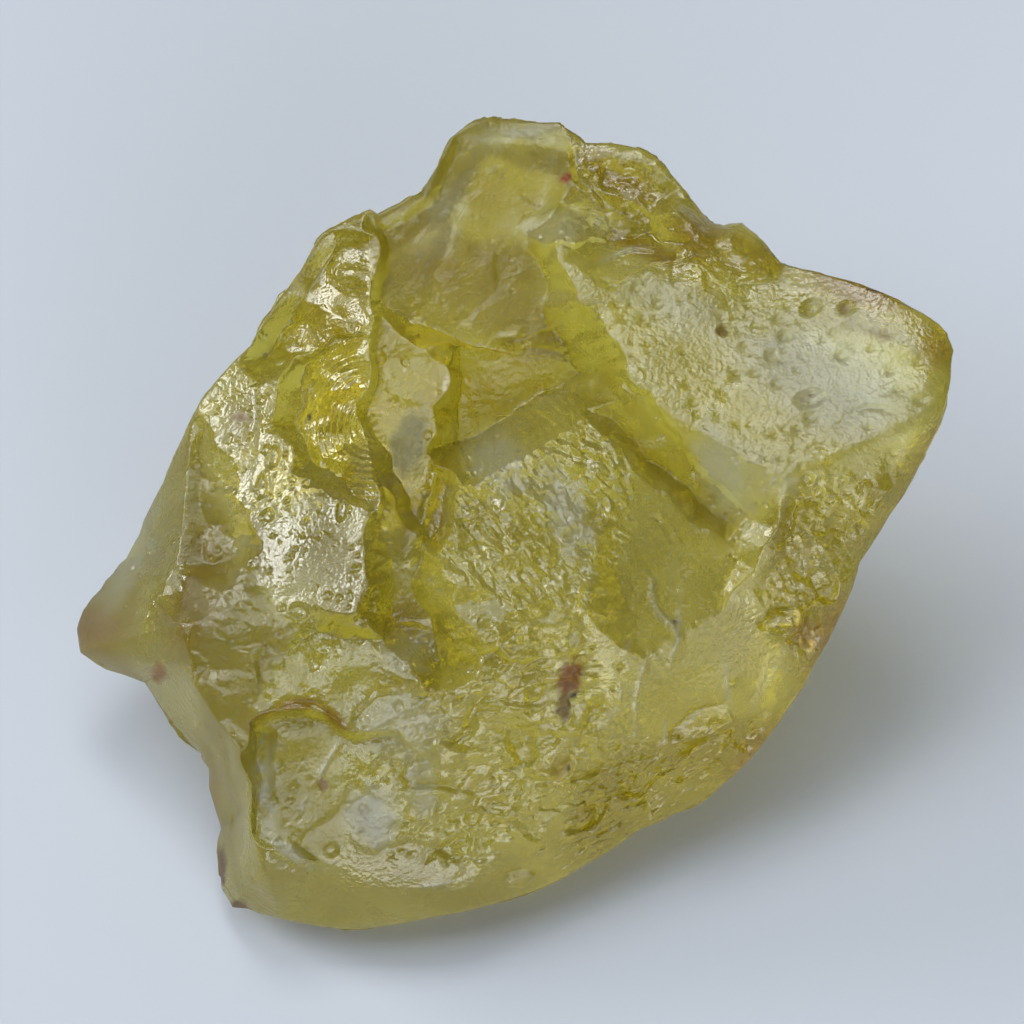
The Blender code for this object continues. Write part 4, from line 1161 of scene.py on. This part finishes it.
def plain(across, up, broad):
    """Where the broad side may be thinned: not in its detail areas, stains and ridges."""
    detail = np.zeros(across.shape, bool)
    for corners in DETAIL.values():
        detail |= to_polygon(across, up, corners) < 0.0
    for *place, _, _ in STAINS.values():
        detail |= from_oval(across, up, *place) < DETAIL_ROUND_STAINS
    for corners, half_width, _ in RIDGES.values():
        detail |= ridge(across, up, corners, half_width, 1.0) > DETAIL_RIDGE
    return np.where(detail | ~broad, 0.0, 1.0)


def stone_points(directions):
    """Where each direction of a ball meets the stone's surface, and what its skin is like there."""
    normals, distances = face_planes()
    lengths = scooped(directions, reach(directions, normals, distances))
    across, up, out = (directions * lengths[:, None]).T
    turn = np.arctan2(up, across)
    slope = np.arcsin(directions[:, 2])
    rim_angles, rim_reach, rim_slopes = block_rim(normals, distances)
    block = np.interp(turn, rim_angles, rim_reach, period=2 * math.pi)
    rim_slope = np.interp(turn, rim_angles, rim_slopes, period=2 * math.pi)
    wanted = outline_reach(turn)
    way_out = np.hypot(across, up) / block
    share = np.clip((way_out - STRETCH_START) / (1.0 - STRETCH_START), 0.0, 1.0)
    stretch = 1.0 + (wanted / block - 1.0) * share ** STRETCH_CURVE
    across = across * stretch
    up = up * stretch
    out = out + HEART_OUT
    room = np.clip((1.0 - np.hypot(across, up) / wanted) / RIM_SHARE, 0.0, 1.0)
    broad = slope > rim_slope
    broken = out.copy()
    broken[broad] = chipped(across[broad], up[broad], out[broad])
    broken[broad] += relief(across[broad], up[broad])
    out = out + (broken - out) * room
    points = np.stack([across, up, out], axis=1)
    stepped = np.where(broad, 0.0, cleavage_steps(points) * room)
    points = points - directions * stepped[:, None]
    worn = sum(height * swell(points, size, seed) for size, height, seed in SWELL)
    knocks = sum(height * swell(points, size, seed) for size, height, seed in WEAR)
    worn = np.where(broad, BROAD_SWELL, 1.0) * worn + np.where(broad, BROAD_WEAR, 1.0) * knocks
    points = points + directions * worn[:, None]
    skin = skin_finish_and_painted_light(points, broad)
    skin["pitting"] = pitting(points, broad)
    skin["back"] = np.where(broad, 0.0, 1.0)
    skin["broad"] = 1.0 - skin["back"]
    skin["plain"] = plain(*points[:, :2].T, broad)
    return points, skin


def stone_mesh(name):
    """The stone before its etch pits, as a fine ball drawn to the faces."""
    shape = bmesh.new()
    bmesh.ops.create_icosphere(shape, subdivisions=BALL_SUBDIVISIONS, radius=1.0)
    mesh = bpy.data.meshes.new(name)
    shape.to_mesh(mesh)
    shape.free()
    directions = np.empty(len(mesh.vertices) * 3)
    mesh.vertices.foreach_get("co", directions)
    directions = directions.reshape(-1, 3)
    directions /= np.linalg.norm(directions, axis=1)[:, None]
    points, skin = stone_points(directions)
    placed = to_table(points) * MM
    placed[:, 2] = np.maximum(placed[:, 2], 0.0)
    mesh.vertices.foreach_set("co", placed.ravel())
    for quality, values in skin.items():
        kind, place = ("FLOAT", "value") if values.ndim == 1 else ("FLOAT_COLOR", "color")
        mesh.attributes.new(quality, kind, "POINT").data.foreach_set(place, values.ravel())
    mesh.update()
    return mesh


class Value:
    """A node's socket that can stand in a sum: each operator adds its Math node."""

    def __init__(self, graph, socket):
        self.graph = graph
        self.socket = socket

    def maths(self, operation, first, second):
        return self.graph.node("ShaderNodeMath", {"operation": operation}, {0: first, 1: second})

    def __add__(self, other):
        return self.maths("ADD", self, other)

    def __radd__(self, other):
        return self.maths("ADD", other, self)

    def __sub__(self, other):
        return self.maths("SUBTRACT", self, other)

    def __rsub__(self, other):
        return self.maths("SUBTRACT", other, self)

    def __mul__(self, other):
        return self.maths("MULTIPLY", self, other)

    def __rmul__(self, other):
        return self.maths("MULTIPLY", other, self)

    def __truediv__(self, other):
        return self.maths("DIVIDE", self, other)

    def least(self, other):
        return self.maths("MINIMUM", self, other)

    def most(self, other):
        return self.maths("MAXIMUM", self, other)


class Graph:
    """A node tree that grows one node at a time."""

    def __init__(self, tree):
        self.tree = tree

    def node(self, kind, settings, inputs, output=0):
        """Adds a node: its settings first, then the values or links of its inputs."""
        made = self.tree.nodes.new(kind)
        for name, value in settings.items():
            setattr(made, name, value)
        for place, value in inputs.items():
            if isinstance(value, Value):
                self.tree.links.new(value.socket, made.inputs[place])
            else:
                made.inputs[place].default_value = value
        return Value(self, made.outputs[output])

    def noise(self, place, scale, roughness):
        """Cloudy values round 0.5, with one finer octave of the given strength."""
        return self.node(
            "ShaderNodeTexNoise", {},
            {"Vector": place, "Scale": scale, "Detail": 1.0, "Roughness": roughness}, "Fac")


def etch_tree(material):
    """Geometry nodes that let round pits into the surface where its 'pitting' allows them."""
    tree = bpy.data.node_groups.new("etch_pits", "GeometryNodeTree")
    sockets = tree.interface
    sockets.new_socket("Geometry", in_out="INPUT", socket_type="NodeSocketGeometry")
    for name in ("Spacing", "Smallest", "Largest", "Depth"):
        sockets.new_socket(name, in_out="INPUT", socket_type="NodeSocketFloat")
    sockets.new_socket("Seed", in_out="INPUT", socket_type="NodeSocketInt")
    sockets.new_socket("Geometry", in_out="OUTPUT", socket_type="NodeSocketGeometry")
    graph = Graph(tree)
    entry = tree.nodes.new("NodeGroupInput")
    given = {socket.name: Value(graph, socket) for socket in entry.outputs if socket.name}
    stone = given["Geometry"]
    pitting_here = graph.node(
        "GeometryNodeInputNamedAttribute", {"data_type": "FLOAT"}, {"Name": "pitting"})
    pits = graph.node(
        "GeometryNodeDistributePointsOnFaces", {"distribute_method": "POISSON"},
        {"Mesh": stone, "Distance Min": given["Spacing"], "Density Max": MOST_PITS,
         "Density Factor": pitting_here, "Seed": given["Seed"]})
    position = graph.node("GeometryNodeInputPosition", {}, {})
    nearest = graph.node("GeometryNodeSampleNearest", {"domain": "POINT"}, {"Geometry": pits})
    centre = graph.node(
        "GeometryNodeSampleIndex", {"data_type": "FLOAT_VECTOR", "domain": "POINT"},
        {"Geometry": pits, "Value": position, "Index": nearest})
    chance = graph.node(
        "FunctionNodeRandomValue", {"data_type": "FLOAT"}, {"Seed": given["Seed"]}, "Value")
    lot = graph.node(
        "GeometryNodeSampleIndex", {"data_type": "FLOAT", "domain": "POINT"},
        {"Geometry": pits, "Value": chance, "Index": nearest})
    radius = given["Smallest"] + (given["Largest"] - given["Smallest"]) * lot * lot
    away = graph.node(
        "ShaderNodeVectorMath", {"operation": "DISTANCE"}, {0: position, 1: centre}, "Value")
    share = away / radius
    bowl = ((1.0 - share * share) * ETCH_FLATNESS).most(0.0).least(1.0)
    normal = graph.node("GeometryNodeInputNormal", {}, {})
    push = graph.node(
        "ShaderNodeVectorMath", {"operation": "SCALE"},
        {0: normal, "Scale": 0.0 - bowl * radius * given["Depth"]})
    moved = graph.node("GeometryNodeSetPosition", {}, {"Geometry": stone, "Offset": push})
    whole = graph.node("GeometryNodeRealizeInstances", {}, {"Geometry": moved})
    dressed = graph.node("GeometryNodeSetMaterial", {}, {"Geometry": whole, "Material": material})
    leave = tree.nodes.new("NodeGroupOutput")
    tree.links.new(dressed.socket, leave.inputs["Geometry"])
    return tree


def gather(stone, name):
    """Makes a vertex group of the points that an attribute marks, and returns their share."""
    marked = np.empty(len(stone.data.vertices), np.float32)
    stone.data.attributes[name].data.foreach_get("value", marked)
    group = stone.vertex_groups.new(name=name)
    group.add(np.flatnonzero(marked > 0.5).tolist(), 1.0, "REPLACE")
    return marked.mean()


def let_in_pits(stone, tree):
    """Gives the stone a modifier for each size of etch pit."""
    for name, (spacing, smallest, largest, depth, seed) in ETCH_PITS.items():
        pits = stone.modifiers.new(name, "NODES")
        pits.node_group = tree
        sizes = {
            "Spacing": spacing * MM, "Smallest": smallest * MM, "Largest": largest * MM,
            "Depth": depth, "Seed": seed,
        }
        for item in tree.interface.items_tree:
            if item.in_out == "INPUT" and item.name in sizes:
                pits[item.identifier] = sizes[item.name]


def thin_out(stone):
    """Gives the stone modifiers that thin its back, its broad side and then its plain areas."""
    before = len(stone.data.polygons)
    share_of_back = gather(stone, "back")
    gather(stone, "broad")
    gather(stone, "plain")
    counts = {
        "back": (1.0 - share_of_back) * before + BACK_TRIANGLES,
        "broad": BACK_TRIANGLES + BROAD_TRIANGLES,
        "plain": TRIANGLES,
    }
    for name, count in counts.items():
        thin = stone.modifiers.new("thin_" + name, "DECIMATE")
        thin.vertex_group = name
        thin.ratio = count / before
        before = count


def stand_on_the_table(mesh):
    """Lifts what the pits and the thinning left just under the table."""
    places = np.empty(len(mesh.vertices) * 3)
    mesh.vertices.foreach_get("co", places)
    places = places.reshape(-1, 3)
    places[:, 2] = np.maximum(places[:, 2], 0.0)
    mesh.vertices.foreach_set("co", places.ravel())


def etched(stone, material):
    """Lets the pits into the stone and thins it to a plain mesh that stands on the table."""
    let_in_pits(stone, etch_tree(material))
    thin_out(stone)
    graph = bpy.context.evaluated_depsgraph_get()
    mesh = bpy.data.meshes.new_from_object(stone.evaluated_get(graph))
    stone.modifiers.clear()
    stone.vertex_groups.clear()
    spare = stone.data
    stone.data = mesh
    bpy.data.meshes.remove(spare)
    mesh.name = stone.name
    stand_on_the_table(mesh)
    mesh.shade_smooth()
    mesh.update()


def topaz_material():
    """Olive-yellow crystal: see-through, with a glossy and finely etched skin."""
    material = bpy.data.materials.new("olive_topaz")
    material.use_nodes = True
    tree = material.node_tree
    graph = Graph(tree)
    shader = tree.nodes["Principled BSDF"]
    shader.inputs["Metallic"].default_value = 0.0
    shader.inputs["IOR"].default_value = TOPAZ_IOR
    shader.inputs["Transmission Weight"].default_value = CLEARNESS
    place = graph.node("ShaderNodeTexCoord", {}, {}, "Object")
    # The base colour comes from the 'tint' attribute, which holds painted shade, painted sheen and
    # painted highlights besides stains and amber.
    tint = graph.node("ShaderNodeAttribute", {"attribute_name": "tint"}, {}, "Color")
    tree.links.new(tint.socket, shader.inputs["Base Color"])
    skin = graph.node("ShaderNodeAttribute", {"attribute_name": "roughness"}, {}, "Fac")
    spots = graph.noise(place, GLOSS_SCALE / MM, GLOSS_OCTAVE)
    roughness = skin + GLOSS_VARIES * (spots - GLOSS_LEVEL)
    tree.links.new(roughness.socket, shader.inputs["Roughness"])
    height = GRAIN_HEIGHT * MM * graph.noise(place, GRAIN_SCALE / MM, GRAIN_OCTAVE)
    bump = graph.node("ShaderNodeBump", {}, {"Strength": 1.0, "Distance": 1.0, "Height": height})
    tree.links.new(bump.socket, shader.inputs["Normal"])
    depth = tree.nodes.new("ShaderNodeVolumeAbsorption")
    depth.inputs["Color"].default_value = DEPTH_COLOUR
    depth.inputs["Density"].default_value = DEPTH_DENSITY
    tree.links.new(depth.outputs["Volume"], tree.nodes["Material Output"].inputs["Volume"])
    return material


def floor_material():
    """Pale matt paper."""
    material = bpy.data.materials.new("pale_paper")
    material.use_nodes = True
    tree = material.node_tree
    shader = tree.nodes["Principled BSDF"]
    shader.inputs["Base Color"].default_value = FLOOR_COLOUR
    shader.inputs["Roughness"].default_value = FLOOR_ROUGHNESS
    return material


def floor():
    """A plain pale floor."""
    bpy.ops.mesh.primitive_plane_add(size=FLOOR_SIZE)
    ground = bpy.context.object
    ground.name = "floor"
    ground.data.materials.append(floor_material())
    return ground


def soft_box(name, direction, spread, brightness, colour):
    """A rectangular lamp that faces the stone and fills the given half angles of its sky."""
    back = Vector(direction).normalized()
    right = Vector((0.0, 1.0, 0.0)).cross(back).normalized()
    lamp = bpy.data.lights.new(name, "AREA")
    lamp.shape = "RECTANGLE"
    lamp.size = 2.0 * LAMP_DISTANCE * math.tan(math.radians(spread[0]))
    lamp.size_y = 2.0 * LAMP_DISTANCE * math.tan(math.radians(spread[1]))
    lamp.energy = brightness * math.pi * lamp.size * lamp.size_y
    lamp.color = colour
    holder = bpy.data.objects.new(name, lamp)
    bpy.context.scene.collection.objects.link(holder)
    holder.location = back * LAMP_DISTANCE
    holder.rotation_euler = Matrix((right, back.cross(right), back)).transposed().to_euler()


def camera():
    """A long lens square on to the broad side."""
    lens = bpy.data.cameras.new("camera")
    lens.lens = LENS
    lens.sensor_width = SENSOR
    lens.clip_start = CLIP_START
    holder = bpy.data.objects.new("camera", lens)
    bpy.context.scene.collection.objects.link(holder)
    target = Vector(AIM) * MM
    back = Vector((0.0, -math.cos(LEAN), math.sin(LEAN)))
    holder.location = target + back * (PICTURE_WIDTH * MM * LENS / SENSOR)
    holder.rotation_euler = back.to_track_quat("Z", "Y").to_euler()
    bpy.context.scene.camera = holder


def light_the_room():
    """The lamps, the dim light of the room and how far light is followed."""
    for name, lamp in LAMPS.items():
        soft_box(name, *lamp)
    world = bpy.data.worlds.new("room")
    world.use_nodes = True
    world.node_tree.nodes["Background"].inputs["Color"].default_value = ROOM_LIGHT
    bpy.context.scene.world = world
    bpy.context.scene.view_settings.view_transform = "Standard"
    tracing = bpy.context.scene.cycles
    tracing.max_bounces = LIGHT_BOUNCES
    tracing.diffuse_bounces = 1
    tracing.caustics_reflective = False
    tracing.use_light_tree = False


def main():
    material = topaz_material()
    stone = bpy.data.objects.new("rough_topaz", stone_mesh("rough_topaz"))
    bpy.context.scene.collection.objects.link(stone)
    etched(stone, material)
    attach(stone, "root")
    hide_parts("topaz")
    floor()
    light_the_room()
    camera()


main()
